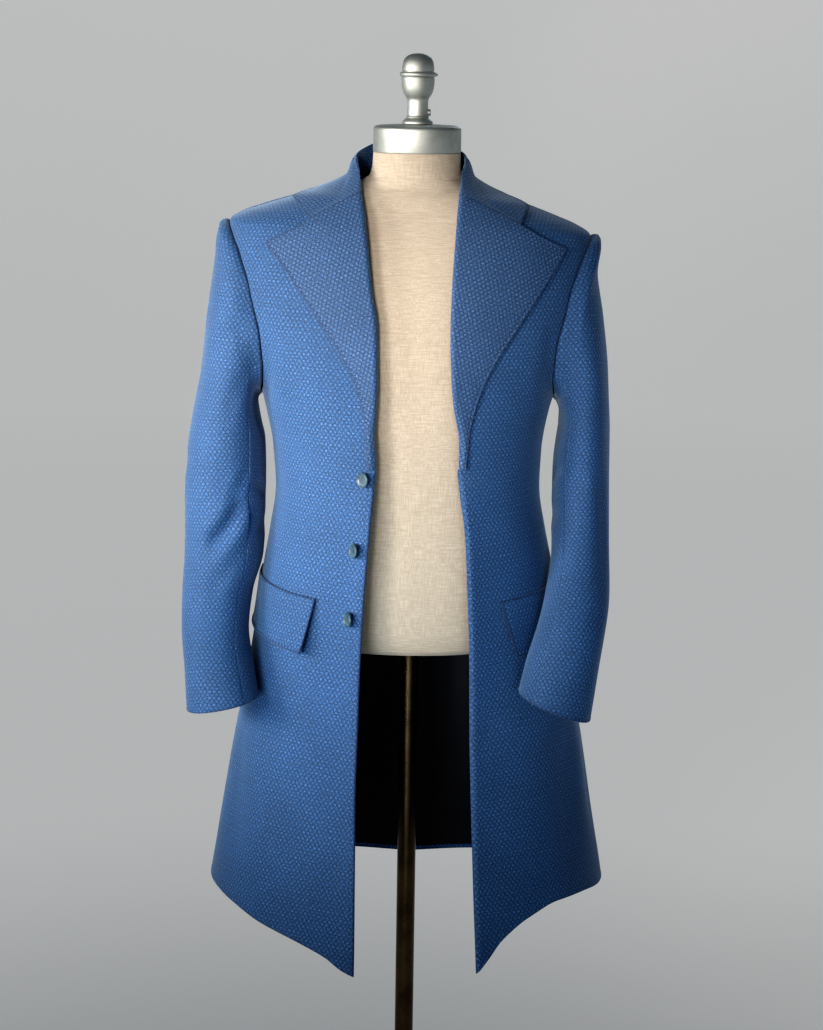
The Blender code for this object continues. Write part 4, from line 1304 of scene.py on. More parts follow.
def border_gaps(points: Array) -> Array:
    """Distances of a grid's points from its four borders, along the grid.

    Args:
        points: Points in rows and columns.

    Returns:
        Distances from the first and last column and the first and last row.
    """
    gaps = []
    for axis in (1, 0):
        steps = np.linalg.norm(np.diff(points, axis=axis), axis=-1)
        zero = np.zeros_like(np.take(steps, [0], axis=axis))
        run = np.concatenate((zero, steps.cumsum(axis=axis)), axis=axis)
        gaps += [run, np.take(run, [-1], axis=axis) - run]
    return np.stack(gaps)


def edge_form(edge: Edge, gap: Array) -> Places:
    """Shape of the cloth near a border.

    Args:
        edge: The border's finish.
        gap: Distances from it.

    Returns:
        How far the cloth moves out, and how much each face draws in round the edge.
    """
    puff = sum((swell(gap, shape) for shape in SWELLS[edge]), np.zeros_like(gap))
    if edge in DRAWN_IN:
        most, reach, power = DRAWN_IN[edge]
        return puff, most * np.clip(1.0 - gap / reach, 0.0, 1.0) ** power
    curve = np.clip(1.0 - gap / FOLD_RADIUS, 0.0, 1.0) ** 2
    return puff, FOLD_RADIUS * (1.0 - np.sqrt(1.0 - curve))


def smoothest(right: Array, down: Array) -> Array:
    """Places on a grid whose steps come as near as they can to the steps wanted.

    Args:
        right: Steps wanted along the rows, as complex numbers.
        down: Steps wanted along the columns.

    Returns:
        A place for each point, by Fourier's way of solving such a grid.
    """
    rows, columns = right.shape[0], down.shape[1]
    pull = np.zeros((rows, columns), complex)
    pull[:, 1:] += right
    pull[:, :-1] -= right
    pull[1:] += down
    pull[:-1] -= down
    even = np.block([[pull, pull[:, ::-1]], [pull[::-1], pull[::-1, ::-1]]])
    stiff = [2.0 - 2.0 * np.cos(math.pi * np.arange(2 * n) / n) for n in (rows, columns)]
    stiff = stiff[0][:, None] + stiff[1]
    stiff[0, 0] = 1.0
    return np.fft.ifft2(np.fft.fft2(even) / stiff)[:rows, :columns]


def flattened(points: Array, normals: Array, warp: Array) -> Array:
    """Lays a piece out flat as it was cut, with as little stretch as its form allows.

    Args:
        points: Points in rows and columns.
        normals: Their normals.
        warp: About the way that the warp runs at each point.

    Returns:
        Places across and along the flat cloth, in metres.
    """
    across = units(np.cross(warp, normals))
    along = np.cross(normals, across)
    steps = []
    for axis in (1, 0):
        step = np.swapaxes(np.diff(points, axis=axis), 0, axis)
        over, up = np.swapaxes(across, 0, axis), np.swapaxes(along, 0, axis)
        flat = dot(step, over[1:] + over[:-1]) + 1j * dot(step, up[1:] + up[:-1])
        steps.append(np.swapaxes(flat, 0, axis) / 2.0)
    right, down = steps
    turn = np.ones(points.shape[:2], complex)
    place = turn
    for _ in range(FLATTEN_ROUNDS):
        place = smoothest(
            right * (turn[:, 1:] + turn[:, :-1]) / 2.0, down * (turn[1:] + turn[:-1]) / 2.0
        )
        turned_right = np.diff(place, axis=1) * right.conj()
        turned_down = np.diff(place, axis=0) * down.conj()
        turn = np.zeros_like(turn)
        turn[:, 1:] += turned_right
        turn[:, :-1] += turned_right
        turn[1:] += turned_down
        turn[:-1] += turned_down
        turn /= np.abs(turn)
    place = place * turn.mean().conj() / abs(turn.mean())
    return np.stack((place.real, place.imag))


def numbered_grid(
    mesh: BMesh, rows: int, columns: int
) -> Iterator[tuple[bmesh.types.BMVert, int, int]]:
    """Adds a grid to a mesh.

    Args:
        mesh: The mesh.
        rows: How many rows of points it has.
        columns: How many columns.

    Yields:
        Each point, with its row and column.
    """
    bmesh.ops.create_grid(mesh, x_segments=columns - 1, y_segments=rows - 1, size=1.0)
    for vert in mesh.verts:
        j = round((vert.co.x + 1.0) / 2.0 * (columns - 1))
        i = round((vert.co.y + 1.0) / 2.0 * (rows - 1))
        yield vert, i, j


def shell(
    name: str, outside: Array, inside: Array, grain: Array, painted_shade: Array, facing: Array
) -> Object:
    """A closed shell between two grids of points.

    Args:
        name: The object's name.
        outside: Points of its outside, in rows and columns.
        inside: Points of its inside.
        grain: Where each lies on the flat cloth.
        painted_shade: How much painted shade darkens each near an edge.
        facing: Where the inside takes the outside's finish.

    Returns:
        The object.
    """
    rows, columns = outside.shape[:2]
    mesh = bmesh.new()
    spot = mesh.verts.layers.int.new("spot")
    for vert, i, j in numbered_grid(mesh, rows, columns):
        vert[spot] = i * columns + j
    bmesh.ops.solidify(mesh, geom=mesh.faces[:], thickness=0.01)
    data = bpy.data.meshes.new(name)
    mesh.to_mesh(data)
    mesh.free()
    spots = np.empty(len(data.vertices), np.int32)
    data.attributes["spot"].data.foreach_get("value", spots)
    data.attributes.remove(data.attributes["spot"])
    count = rows * columns
    places = np.concatenate(
        (outside.reshape(-1, 3)[spots[:count]], inside.reshape(-1, 3)[spots[count:]])
    )
    data.vertices.foreach_set("co", places.ravel().astype(np.float32))
    # The painted shade goes to the material as a point attribute
    darker = data.attributes.new("painted_shade", "FLOAT", "POINT")
    darker.data.foreach_set("value", painted_shade.ravel()[spots].astype(np.float32))
    corners = np.empty(len(data.loops), np.int32)
    data.loops.foreach_get("vertex_index", corners)
    layer = data.uv_layers.new(name="grain")
    flat = grain.reshape(2, -1).T[spots[corners]]
    layer.data.foreach_set("uv", flat.ravel().astype(np.float32))
    quads = corners.reshape(-1, 4)
    lined = (quads >= count).all(axis=1) & ~facing.reshape(-1)[spots[quads]].all(axis=1)
    data.polygons.foreach_set("material_index", lined.astype(np.int32))
    data.shade_smooth()
    data.update()
    face_outwards(data)
    return linked(data)


def face_outwards(data: bpy.types.Mesh) -> None:
    """Turns a closed mesh's faces out where they point in.

    Args:
        data: The mesh.
    """
    mesh = bmesh.new()
    mesh.from_mesh(data)
    if mesh.calc_volume(signed=True) < 0.0:
        bmesh.ops.reverse_faces(mesh, faces=mesh.faces[:])
        mesh.to_mesh(data)
    mesh.free()


@dataclass
class Front(ClothPiece):
    """A front, from its edge round to the armhole and side seam."""

    faced: Pair = (FACING_WIDE, HEM_DEEP)

    def surface(self, across: Array, down: Array) -> Array:
        """Points of the front's outside, its edge eased out to meet the lapel at the break.

        Args:
            across: Shares from the front edge.
            down: Shares from the shoulder.

        Returns:
            The points.
        """
        points = CoatForm(self.side).front(across, down)
        fall = BREAK - points[..., 2]
        ease = smooth_step(1.0 - fall / EASE_FALL) * smooth_step(1.0 - across / EASE_WIDE)
        ease = ease * smooth_step((fall + EASE_ABOVE) / EASE_ON_OVER)
        points[..., 0] -= self.side * EASE_OUT[self.side] * ease
        return points

    @property
    def turned_over(self) -> float:
        """1 or -1, so that the normals point out."""
        return -float(self.side)

    @property
    def edge_shade(self) -> float:
        """The painted shade of the edge is weaker on the left front, whose edge is turned to the
        light.
        """
        return EDGE_SHADE[self.side]

    def finish_share(self, border: int, points: Array) -> Array:
        """The edge is stitched below the break and rolls on above it."""
        below = smooth_step((BREAK + STITCHED_ABOVE - points[..., 2]) / STITCHED_FADE)
        return np.ones_like(below) if border else below

    def extra_form(self, points: Array, gaps: Array) -> Array:
        """The pressed edge rolls back beyond its stitching, below the break."""
        roll = np.clip(1.0 - gaps[0] / STITCH_IN, 0.0, 1.0) ** EDGE_ROLL_POWER
        return -EDGE_ROLL[self.side] * roll * self.finish_share(0, points)


@dataclass
class Back(ClothPiece):
    """A back, from the centre-back seam round to the armhole and side seam."""

    faced: Pair = (0.0, BACK_HEM_SHOWS)

    def surface(self, across: Array, down: Array) -> Array:
        """Points of the back's outside."""
        return CoatForm(self.side).back(across, down)


@dataclass
class FacedPiece(ClothPiece):
    """A piece whose face is cut from the facing's cloth, with wool on both faces."""

    faced: Pair = (math.inf, math.inf)

    def cloth(self, finishes: "Finishes") -> Material:
        """The facing's wool, tinted warmer and greyer as painted sheen."""
        return finishes.facing


@dataclass
class Lapel(FacedPiece):
    """A lapel, from the roll line out to its edge and up to its peak."""

    def surface(self, across: Array, down: Array) -> Array:
        """Points of the lapel's outside."""
        return CoatForm(self.side).lapel(across, down)

    def grain_up(self, points: Array, normals: Array) -> Array:
        """The facing's warp leans with the lapel."""
        way = (self.side * math.sin(LAPEL_GRAIN), 0.0, math.cos(LAPEL_GRAIN))
        return np.broadcast_to(np.array(way), points.shape)

    def finish_share(self, border: int, points: Array) -> Array:
        """The top is sewn to the collar up to the notch, and free beyond it.

        Args:
            border: The border's number.
            points: The piece's points.

        Returns:
            A share for each point.
        """
        if border != 3:
            return np.ones(points.shape[:2])
        share = ROLL_SHARE + (1.0 - ROLL_SHARE) * NOTCH_SHARE[self.side]
        notch = CoatForm(self.side).lapel(np.array(share), np.array(1.0))
        return smooth_step(self.side * (points[..., 0] - notch[0]) / NOTCH_FADE)


@dataclass
class Collar(FacedPiece):
    """The collar, stand and fall in one."""

    def surface(self, across: Array, down: Array) -> Array:
        """Points of the collar's outside."""
        return CoatForm.collar(across, down)

    def grain_up(self, points: Array, normals: Array) -> Array:
        """The weft runs along the collar."""
        return units(np.cross(normals, np.gradient(points, axis=1)))


@dataclass
class Sleeve(ClothPiece):
    """One part of a sleeve, from the armhole to the cuff."""

    faced: Pair = (0.0, CUFF_DEEP)

    def surface(self, across: Array, down: Array) -> Array:
        """Points of the sleeve's outside."""
        return CoatForm(self.side).sleeve(across, down)

    def grain_up(self, points: Array, normals: Array) -> Array:
        """The warp runs up the forearm and turns at the elbow to the upper arm.

        Args:
            points: The piece's points.
            normals: Their normals.

        Returns:
            A direction for each point.
        """
        middle = points.mean(axis=1)
        elbow = middle[len(middle) // 2]
        share = smooth_step(np.linspace(*ELBOW_BEND, len(middle)))[:, None]
        way = mix(units(middle[0] - elbow), units(elbow - middle[-1]), share)
        return np.broadcast_to(way[:, None], points.shape)

    def extra_form(self, points: Array, gaps: Array) -> Array:
        """The sleeve head stands a little proud of the armhole seam."""
        return smooth_step((points[..., 2] - CROWN_FROM) / CROWN_FADE) * swell(gaps[2], CROWN)


@dataclass
class Flap(ClothPiece):
    """A pocket flap, from its rear end to its front."""

    def surface(self, across: Array, down: Array) -> Array:
        """Points of the flap's outside.

        Args:
            across: Shares from the rear end to the front.
            down: Shares from the seam to the lower edge.

        Returns:
            The points.
        """
        height = mix(
            mix(FLAP_TOP_REAR, FLAP_TOP_FRONT, across),
            mix(FLAP_BOTTOM_REAR, FLAP_BOTTOM_FRONT, across),
            down,
        )
        out = mix(FLAP_TOP_FRONT_OUT, FLAP_BOTTOM_FRONT_OUT, down)
        form = CoatForm(self.side)
        turn = mix(FLAP_REAR_TURN, form.turn_of(out, height), across)
        lift = WALL + FLAP_GAP + FLAP_LOWER_LIFT * down**2
        stand = FLAP_STAND_OFF[self.side] * across**FLAP_STAND_POWER
        lift = lift + stand * mix(FLAP_STAND_AT_TOP, 1.0, down)
        return form.body(turn, height) + form.normal(turn, height) * lift[..., None]

    def extra_form(self, points: Array, gaps: Array) -> Array:
        """A soft welt along the lower edge, where the seam allowances lie inside."""
        return swell(gaps[3], FLAP_WELT)


@dataclass
class Lining(ClothPiece):
    """The lining that shows inside the back."""

    def surface(self, across: Array, down: Array) -> Array:
        """Points of the lining's face towards the cloth."""
        halves = [CoatForm(side).back(np.abs(across), down) for side in Side]
        return np.where((across < 0.0)[..., None], *halves)

    def extra_form(self, points: Array, gaps: Array) -> Array:
        """Holds the lining off the cloth, with soft folds and a pleat down its middle.

        Args:
            points: The piece's points.
            gaps: Their distances from the borders.

        Returns:
            Distances along the normals.
        """
        across = np.arctan2(points[..., 0], points[..., 1])
        low = smooth_step((LINING_LOOSE_FROM - points[..., 2]) / LINING_LOOSE_OVER)
        folds = np.sin(LINING_FOLDS * across + LINING_FOLD_LEAN * points[..., 2])
        folds = LINING_FOLD_DEPTH * (0.5 + 0.5 * folds)
        return -(WALL + LINING_GAP) - low * (folds + swell(points[..., 0], LINING_PLEAT))


def rgba(red: float, green: float, blue: float) -> Colour:
    """A linear colour with full cover."""
    return (red, green, blue, 1.0)


def scaled(colour: Colour, by: float) -> Colour:
    """A colour made lighter or darker, with full cover."""
    return rgba(*(by * c for c in colour[:3]))


class Nodes:
    """A material's node tree, built one node at a time."""

    def __init__(self, name: str) -> None:
        """Starts a Principled material.

        Args:
            name: The material's name.
        """
        self.material = bpy.data.materials.new(name)
        self.material.use_nodes = True
        self.tree = self.material.node_tree
        self.shader = self.tree.nodes["Principled BSDF"]

    def add(self, kind: str, *inputs: object, **settings: object) -> Socket:
        """Adds a node.

        Args:
            kind: The node's type, without ShaderNode.
            inputs: A socket, a value or None for each of its first inputs.
            settings: Its other settings.

        Returns:
            Its first output.
        """
        node = self.tree.nodes.new(f"ShaderNode{kind}")
        for key, value in settings.items():
            setattr(node, key, value)
        for socket, value in zip(node.inputs, inputs):
            self.plug(socket, value)
        return node.outputs[0]

    def plug(self, socket: Socket, value: object) -> None:
        """Links a socket to another, or sets its value.

        Args:
            socket: The socket.
            value: Another socket, a value, or None to leave it as it is.
        """
        if isinstance(value, Socket):
            self.tree.links.new(value, socket)
        elif value is not None:
            socket.default_value = value

    def math(self, operation: str, *inputs: object) -> Socket:
        """A Math node."""
        return self.add("Math", *inputs, operation=operation)

    def times(self, first: object, second: object) -> Socket:
        """A product of two numbers."""
        return self.math("MULTIPLY", first, second)

    def apart(self, value: object, at: float) -> Socket:
        """How far a number is from another."""
        return self.math("ABSOLUTE", self.math("SUBTRACT", value, at))

    def vector(self, operation: str, *inputs: object) -> Socket:
        """A Vector Math node."""
        return self.add("VectorMath", *inputs, operation=operation)

    def place(self) -> Socket:
        """Object coordinates."""
        return self.add("TexCoord").node.outputs["Object"]

    def noise(self, place: object, scale: float, detail: float, rough: float
              ) -> Socket:
        """Noise at a place."""
        return self.add("TexNoise", place, None, scale, detail, rough)

    def streaks(self, across: float, along: float, detail: float, rough: float
                ) -> Socket:
        """Noise in object coordinates, with one scale across the Z axis and one along it."""
        place = self.vector("MULTIPLY", self.place(), (across, across, along))
        return self.noise(place, 1.0, detail, rough)

    def between(self, value: object, low: float, high: float, to: Pair = (0, 1)
                ) -> Socket:
        """A value brought smoothly from one range to another."""
        return self.add("MapRange", value, low, high, *map(float, to),
                        interpolation_type="SMOOTHSTEP")

    def blend(self, share: object, first: object, second: object) -> Socket:
        """A mix of two colours.

        Args:
            share: How much of the second.
            first: The first colour.
            second: The second colour.

        Returns:
            The mixed colour.
        """
        node = self.tree.nodes.new("ShaderNodeMix")
        node.data_type = "RGBA"
        self.plug(node.inputs[0], share)
        self.plug(node.inputs[6], first)
        self.plug(node.inputs[7], second)
        return node.outputs[2]

    def set(self, **values: object) -> None:
        """Sets or links the shader's sockets by their names, with _ for a space."""
        for key, value in values.items():
            self.plug(self.shader.inputs[key.replace("_", " ")], value)

    def bump(self, height: object, depth: float, strength: float) -> None:
        """Gives the shader a bump.

        Args:
            height: The socket with its heights.
            depth: The depth of a height of 1, in metres.
            strength: How strongly it shows.
        """
        node = self.tree.nodes.new("ShaderNodeBump")
        node.inputs["Strength"].default_value = strength
        node.inputs["Distance"].default_value = depth
        self.tree.links.new(height, node.inputs["Height"])
        self.tree.links.new(node.outputs[0], self.shader.inputs["Normal"])


@dataclass(frozen=True)
class Finish:
    """The base of every material's sizes and colours."""

    def dress(self, n: Nodes) -> None:
        """Adds the finish's own nodes to a material."""
        raise NotImplementedError

    def make(self, name: str) -> Material:
        """A material with this finish.

        Args:
            name: The material's name.

        Returns:
            The material.
        """
        n = Nodes(name)
        self.dress(n)
        return n.material


@dataclass(frozen=True)
class WovenWool(Finish):
    """Soft wool woven with rows of pale dots and small rings between dark lattice lines."""

    dot_apart: float = 0.0062
    rows_apart: float = 0.0088
    ground: Colour = rgba(0.0162, 0.0585, 0.152)
    pale: Colour = rgba(0.0385, 0.092, 0.208)
    dark: Colour = rgba(0.0045, 0.025, 0.078)
    ring: Colour = rgba(0.027, 0.08, 0.182)
    # The dark navy that the painted shade along edges draws the colour towards
    in_shade: Colour = rgba(0.0005, 0.006, 0.03)
    # A tint over the woven colour; the facing's warmer, greyer tint is painted sheen
    nap: Triple = (1.0, 1.0, 1.0)
    wander: Triple = (0.003, 0.0028, 0.0)
    dot_tall: float = 1.35
    dot_rim: Pair = (0.35, 1.8)
    ring_tall: float = 1.3
    ring_radius: float = 1.05
    ring_rim: Pair = (0.15, 0.55)
    lattice_rim: Pair = (0.04, 0.17)
    rows_rim: Pair = (0.03, 0.1)
    rows_most: float = 0.55
    uneven: Pair = (0.2, 1.15)
    yarn_light: Pair = (0.42, 1.6)
    cloud_light: Pair = (0.9, 1.1)

    def gap(self, n: Nodes, x: object, y: object, tall: float) -> Socket:
        """Distance from a spot that is taller than wide, in millimetres of its width."""
        y = n.math("DIVIDE", y, tall)
        return n.math("SQRT", n.math("ADD", n.times(x, x), n.times(y, y)))

    def dress(self, n: Nodes) -> None:
        """Weaves the wool: a repeat of dots, rings and lattice, uneven in its yarns, with
        painted shade along its edges.

        Args:
            n: The material's nodes.
        """
        flat = n.add("UVMap", uv_map="grain")
        shift = n.noise(flat, 60.0, 6.0, 0.75).node.outputs["Color"]
        shift = n.vector("MULTIPLY", n.vector("SUBTRACT", shift, (0.5, 0.5, 0.5)), self.wander)
        parts = n.add("SeparateXYZ", n.vector("ADD", flat, shift)).node
        wide, high = 1000.0 * self.dot_apart, 1000.0 * self.rows_apart
        across = n.math("PINGPONG", n.math("DIVIDE", parts.outputs[0], self.dot_apart), 0.5)
        along = n.math("PINGPONG", n.math("DIVIDE", parts.outputs[1], self.rows_apart), 0.5)
        x, y = n.times(across, wide), n.times(along, high)
        x_2, y_2 = n.math("SUBTRACT", wide / 2, x), n.math("SUBTRACT", high / 2, y)
        dots = n.between(self.gap(n, x, y, self.dot_tall), *self.dot_rim, (1, 0))
        rings = n.apart(self.gap(n, x_2, y_2, self.ring_tall), self.ring_radius)
        rings = n.between(rings, *self.ring_rim, (1, 0))
        slant = n.apart(n.math("ADD", across, along), 0.5)
        lattice = n.between(slant, *self.lattice_rim, (1, 0))
        rows = n.between(n.apart(along, 0.25), *self.rows_rim, (self.rows_most, 0.0))
        lattice = n.math("MAXIMUM", lattice, rows)
        threads = n.noise(flat, 520.0, 3.0, 0.75)
        patchy = n.noise(flat, 260.0, 2.0, 0.5)
        cloudy = n.noise(flat, 14.0, 3.0, 0.55)
        strong = n.between(patchy, 0.3, 0.7, self.uneven)
        colour = n.blend(n.times(lattice, 0.9), self.ground, self.dark)
        colour = n.blend(n.times(rings, n.times(strong, 0.7)), colour, self.ring)
        colour = n.blend(n.times(dots, strong), colour, self.pale)
        light = n.times(n.between(threads, 0.37, 0.63, self.yarn_light),
                        n.between(cloudy, 0.2, 0.8, self.cloud_light))
        colour = n.vector("SCALE", n.vector("MULTIPLY", colour, self.nap))
        n.plug(colour.node.inputs["Scale"], light)
        # Painted shade: the shade attribute draws the colour to in_shade along edges and stitch
        # lines
        painted_shade = n.add("Attribute", attribute_name="painted_shade").node.outputs["Fac"]
        colour = n.blend(painted_shade, colour, self.in_shade)
        n.set(Base_Color=colour, Roughness=0.8, Specular_IOR_Level=0.3, Sheen_Weight=0.3,
              Sheen_Roughness=0.4, Sheen_Tint=rgba(0.5, 0.72, 1.0))
        height = n.math("ADD", n.times(dots, 0.8), n.times(threads, 0.9))
        n.bump(n.math("SUBTRACT", height, n.times(lattice, 0.5)), 0.0003, 0.7)


@dataclass(frozen=True)
class Thread(Finish):
    """Twisted silk thread."""

    colour: Colour = rgba(0.1, 0.2, 0.44)
    dark: Colour = rgba(0.05, 0.11, 0.27)

    def dress(self, n: Nodes) -> None:
        """Twists the thread.

        Args:
            n: The material's nodes.
        """
        twist = n.noise(n.place(), 2600.0, 2.0, 0.5)
        n.set(Base_Color=n.blend(n.between(twist, 0.35, 0.65), self.dark, self.colour),
              Roughness=0.5, Specular_IOR_Level=0.4, Sheen_Weight=0.2)
        n.bump(twist, 0.0001, 0.5)


@dataclass(frozen=True)
class Satin(Finish):
    """Smooth lining cloth with a fine twill."""

    colour: Colour = rgba(0.0014, 0.0017, 0.0036)
    pale_by: float = 2.2
    twill_apart: float = 0.0006
    twill_slope: float = 0.8

    def dress(self, n: Nodes) -> None:
        """Weaves the twill.

        Args:
            n: The material's nodes.
        """
        flat = n.add("UVMap", uv_map="grain")
        parts = n.add("SeparateXYZ", flat).node
        slant = n.math("ADD", parts.outputs[0], n.times(parts.outputs[1], self.twill_slope))
        twill = n.math("PINGPONG", n.math("DIVIDE", slant, self.twill_apart), 0.5)
        cloudy = n.noise(flat, 40.0, 2.0, 0.5)
        pale = scaled(self.colour, self.pale_by)
        n.set(Base_Color=n.blend(n.times(twill, cloudy), self.colour, pale),
              Roughness=n.between(cloudy, 0.2, 0.8, (0.42, 0.58)), Specular_IOR_Level=0.14)
        n.bump(twill, 0.0001, 0.4)


@dataclass(frozen=True)
class Linen(Finish):
    """Plain linen over padding, with slubs in its threads."""

    colour: Colour = rgba(0.37, 0.335, 0.27)
    dark: Colour = rgba(0.26, 0.23, 0.18)
    fine: float = 1400.0
    long: float = 60.0

    def dress(self, n: Nodes) -> None:
        """Weaves the linen of level and upright threads.

        Args:
            n: The material's nodes.
        """
        weave = n.times(n.streaks(self.long, self.fine, 2.0, 0.5),
                        n.streaks(self.fine, self.long, 2.0, 0.5))
        n.set(Base_Color=n.blend(n.between(weave, 0.12, 0.4), self.dark, self.colour),
              Roughness=0.85, Specular_IOR_Level=0.2, Sheen_Weight=0.15)
        n.bump(weave, 0.0004, 0.6)


@dataclass(frozen=True)
class TurnedMetal(Finish):
    """Metal with fine marks left round it by turning and brushing."""

    colour: Colour
    dull: Colour
    rough: Pair
    metallic: float = 1.0

    def dress(self, n: Nodes) -> None:
        """Brushes and wears the metal.

        Args:
            n: The material's nodes.
        """
        marks = n.streaks(18.0, 2600.0, 3.0, 0.6)
        wear_and_painted_shade = n.noise(n.place(), 30.0, 4.0, 0.6)
        n.set(Base_Color=n.blend(n.between(wear_and_painted_shade, 0.35, 0.75), self.colour, self.dull),
              Metallic=self.metallic, Roughness=n.between(marks, 0.3, 0.7, self.rough))
        n.bump(marks, 0.00006, 0.5)


@dataclass(frozen=True)
class Horn(Finish):
    """Polished dark horn with cloudy streaks."""

    colour: Colour = rgba(0.018, 0.042, 0.057)
    pale: Colour = rgba(0.05, 0.1, 0.13)

    def dress(self, n: Nodes) -> None:
        """Streaks and polishes the horn.

        Args:
            n: The material's nodes.
        """
        streaks = n.streaks(60.0, 260.0, 4.0, 0.65)
        n.set(Base_Color=n.blend(n.between(streaks, 0.4, 0.75), self.colour, self.pale),
              Roughness=n.between(streaks, 0.3, 0.7, (0.26, 0.4)), Specular_IOR_Level=0.3,
              Coat_Weight=0.2, Coat_Roughness=0.08)


@dataclass(frozen=True)
class Backdrop(Finish):
    """Plain pale paper with painted light: it glows more the further it is from the object."""

    colour: Colour = rgba(0.72, 0.715, 0.7)
    fibre_dark: float = 0.97
    glow: Pair = (0.16, 0.36)
    glow_over: Pair = (0.2, 2.4)

    def dress(self, n: Nodes) -> None:
        """Lays the fibres and the painted glow.

        Args:
            n: The material's nodes.
        """
        place = n.place()
        fibre = n.noise(place, 3.0, 3.0, 0.5)
        away = n.vector("LENGTH", place).node.outputs["Value"]
        near = scaled(self.colour, self.fibre_dark)
        # Painted light: the paper glows, more with its distance from the object
        n.set(Base_Color=n.blend(fibre, near, self.colour), Roughness=0.9,
              Specular_IOR_Level=0.1, Emission_Color=rgba(1.0, 0.99, 0.97),
              Emission_Strength=n.between(away, *self.glow_over, self.glow))


def made(finish: Finish, name: str) -> Material:
    """A dataclass field that makes its material when the dataclass is made."""
    return field(default_factory=lambda: finish.make(name))


@dataclass
class Finishes:
    """Every material of the scene, by its name."""

    wool: Material = made(WovenWool(), "blue_wool")
    # The facing's wool, tinted warmer and greyer: painted sheen
    facing: Material = made(WovenWool(nap=(1.28, 1.0, 0.93)), "blue_wool_facing")
    thread: Material = made(Thread(), "silk_thread")
    button_thread: Material = made(
        Thread(rgba(0.012, 0.022, 0.05), rgba(0.006, 0.011, 0.028)), "button_thread"
    )
    satin: Material = made(Satin(), "black_satin")
    linen: Material = made(Linen(), "linen")
    horn: Material = made(Horn(), "dark_horn")
    nickel: Material = made(
        TurnedMetal(rgba(0.4, 0.44, 0.42), rgba(0.29, 0.32, 0.305), (0.48, 0.6)),
        "brushed_nickel",
    )
    bronze: Material = made(
        TurnedMetal(rgba(0.06, 0.043, 0.025), rgba(0.03, 0.022, 0.014), (0.25, 0.42)),
        "bronzed_pole",
    )
    iron: Material = made(
        TurnedMetal(rgba(0.02, 0.02, 0.022), rgba(0.032, 0.031, 0.031), (0.42, 0.62), 0.3),
        "cast_iron",
    )


# Flat areas of the pieces whose two sides differ, in square metres
FRONT_AREA = {Side.RIGHT: 0.24, Side.LEFT: 0.217}
LAPEL_AREA = {Side.RIGHT: 0.025, Side.LEFT: 0.0293}
SLEEVE_TOP_AREA = {Side.RIGHT: 0.156, Side.LEFT: 0.143}
SLEEVE_UNDER_AREA = {Side.RIGHT: 0.0515, Side.LEFT: 0.0491}

# Each piece's creases, as the numbers of Crease; a sleeve's shares across are degrees
SLEEVE_CREASES = {
    Side.RIGHT: (
        (104.0, 0.11, 58.0, 0.33, 0.01, 0.0026, 4.0),
        (122.0, 0.2, 92.0, 0.43, 0.009, 0.0016, -3.0),
        (118.0, 0.585, 66.0, 0.69, 0.0095, 0.0078, 6.0),
        (126.0, 0.53, 96.0, 0.6, 0.007, 0.002, 4.0),
        (120.0, 0.69, 78.0, 0.76, 0.009, 0.0018, -4.0),
        (20.0, 0.52, -34.0, 0.61, 0.013, 0.0015, 3.0),
        (-60.0, 0.18, -96.0, 0.36, 0.013, 0.0018, 4.0),
        (-80.0, 0.56, -118.0, 0.62, 0.01, 0.0018, -4.0),
    ),
    Side.LEFT: (
        (116.0, 0.12, 84.0, 0.4, 0.011, 0.0018, 5.0),
        (60.0, 0.52, 50.0, 0.76, 0.01, 0.0014, -6.0),
        (120.0, 0.5, 84.0, 0.585, 0.008, 0.0017, 5.0),
        (76.0, 0.795, 30.0, 0.8, 0.0075, 0.0018, 3.0),
        (10.0, 0.42, -36.0, 0.52, 0.014, 0.0014, -3.0),
        (-70.0, 0.2, -104.0, 0.39, 0.013, 0.0018, 4.0),
        (-84.0, 0.54, -120.0, 0.61, 0.01, 0.0016, -4.0),
    ),
}
UNDER_CREASES = {
    Side.RIGHT: (
        (132.0, 0.56, 176.0, 0.6, 0.008, 0.0026, 4.0),
        (140.0, 0.65, 196.0, 0.64, 0.009, 0.0018, -5.0),
        (196.0, 0.16, 214.0, 0.42, 0.011, 0.0015, 4.0),
    ),
    Side.LEFT: (
        (132.0, 0.53, 178.0, 0.57, 0.008, 0.0022, 4.0),
        (142.0, 0.62, 200.0, 0.63, 0.009, 0.0016, -5.0),
        (192.0, 0.18, 210.0, 0.44, 0.011, 0.0015, 4.0),
    ),
}
FRONT_CREASES = {
    Side.RIGHT: (
        (0.9, 0.11, 0.86, 0.4, 0.015, 0.0022, 0.015),
        (0.52, 0.66, 0.16, 0.69, 0.013, 0.0012, 0.02),
        (0.66, 0.7, 0.3, 0.74, 0.016, 0.0013, -0.02),
        (0.7, 0.76, 0.56, 0.96, 0.026, 0.0026, 0.03),
        (0.3, 0.8, 0.24, 0.97, 0.024, 0.0016, -0.02),
    ),
    Side.LEFT: (
        (0.92, 0.13, 0.88, 0.38, 0.014, 0.002, -0.015),
        (0.18, 0.66, 0.62, 0.7, 0.014, 0.0012, 0.02),
        (0.62, 0.74, 0.5, 0.97, 0.026, 0.0024, -0.03),
        (0.86, 0.72, 0.8, 0.94, 0.024, 0.002, 0.02),
    ),
}
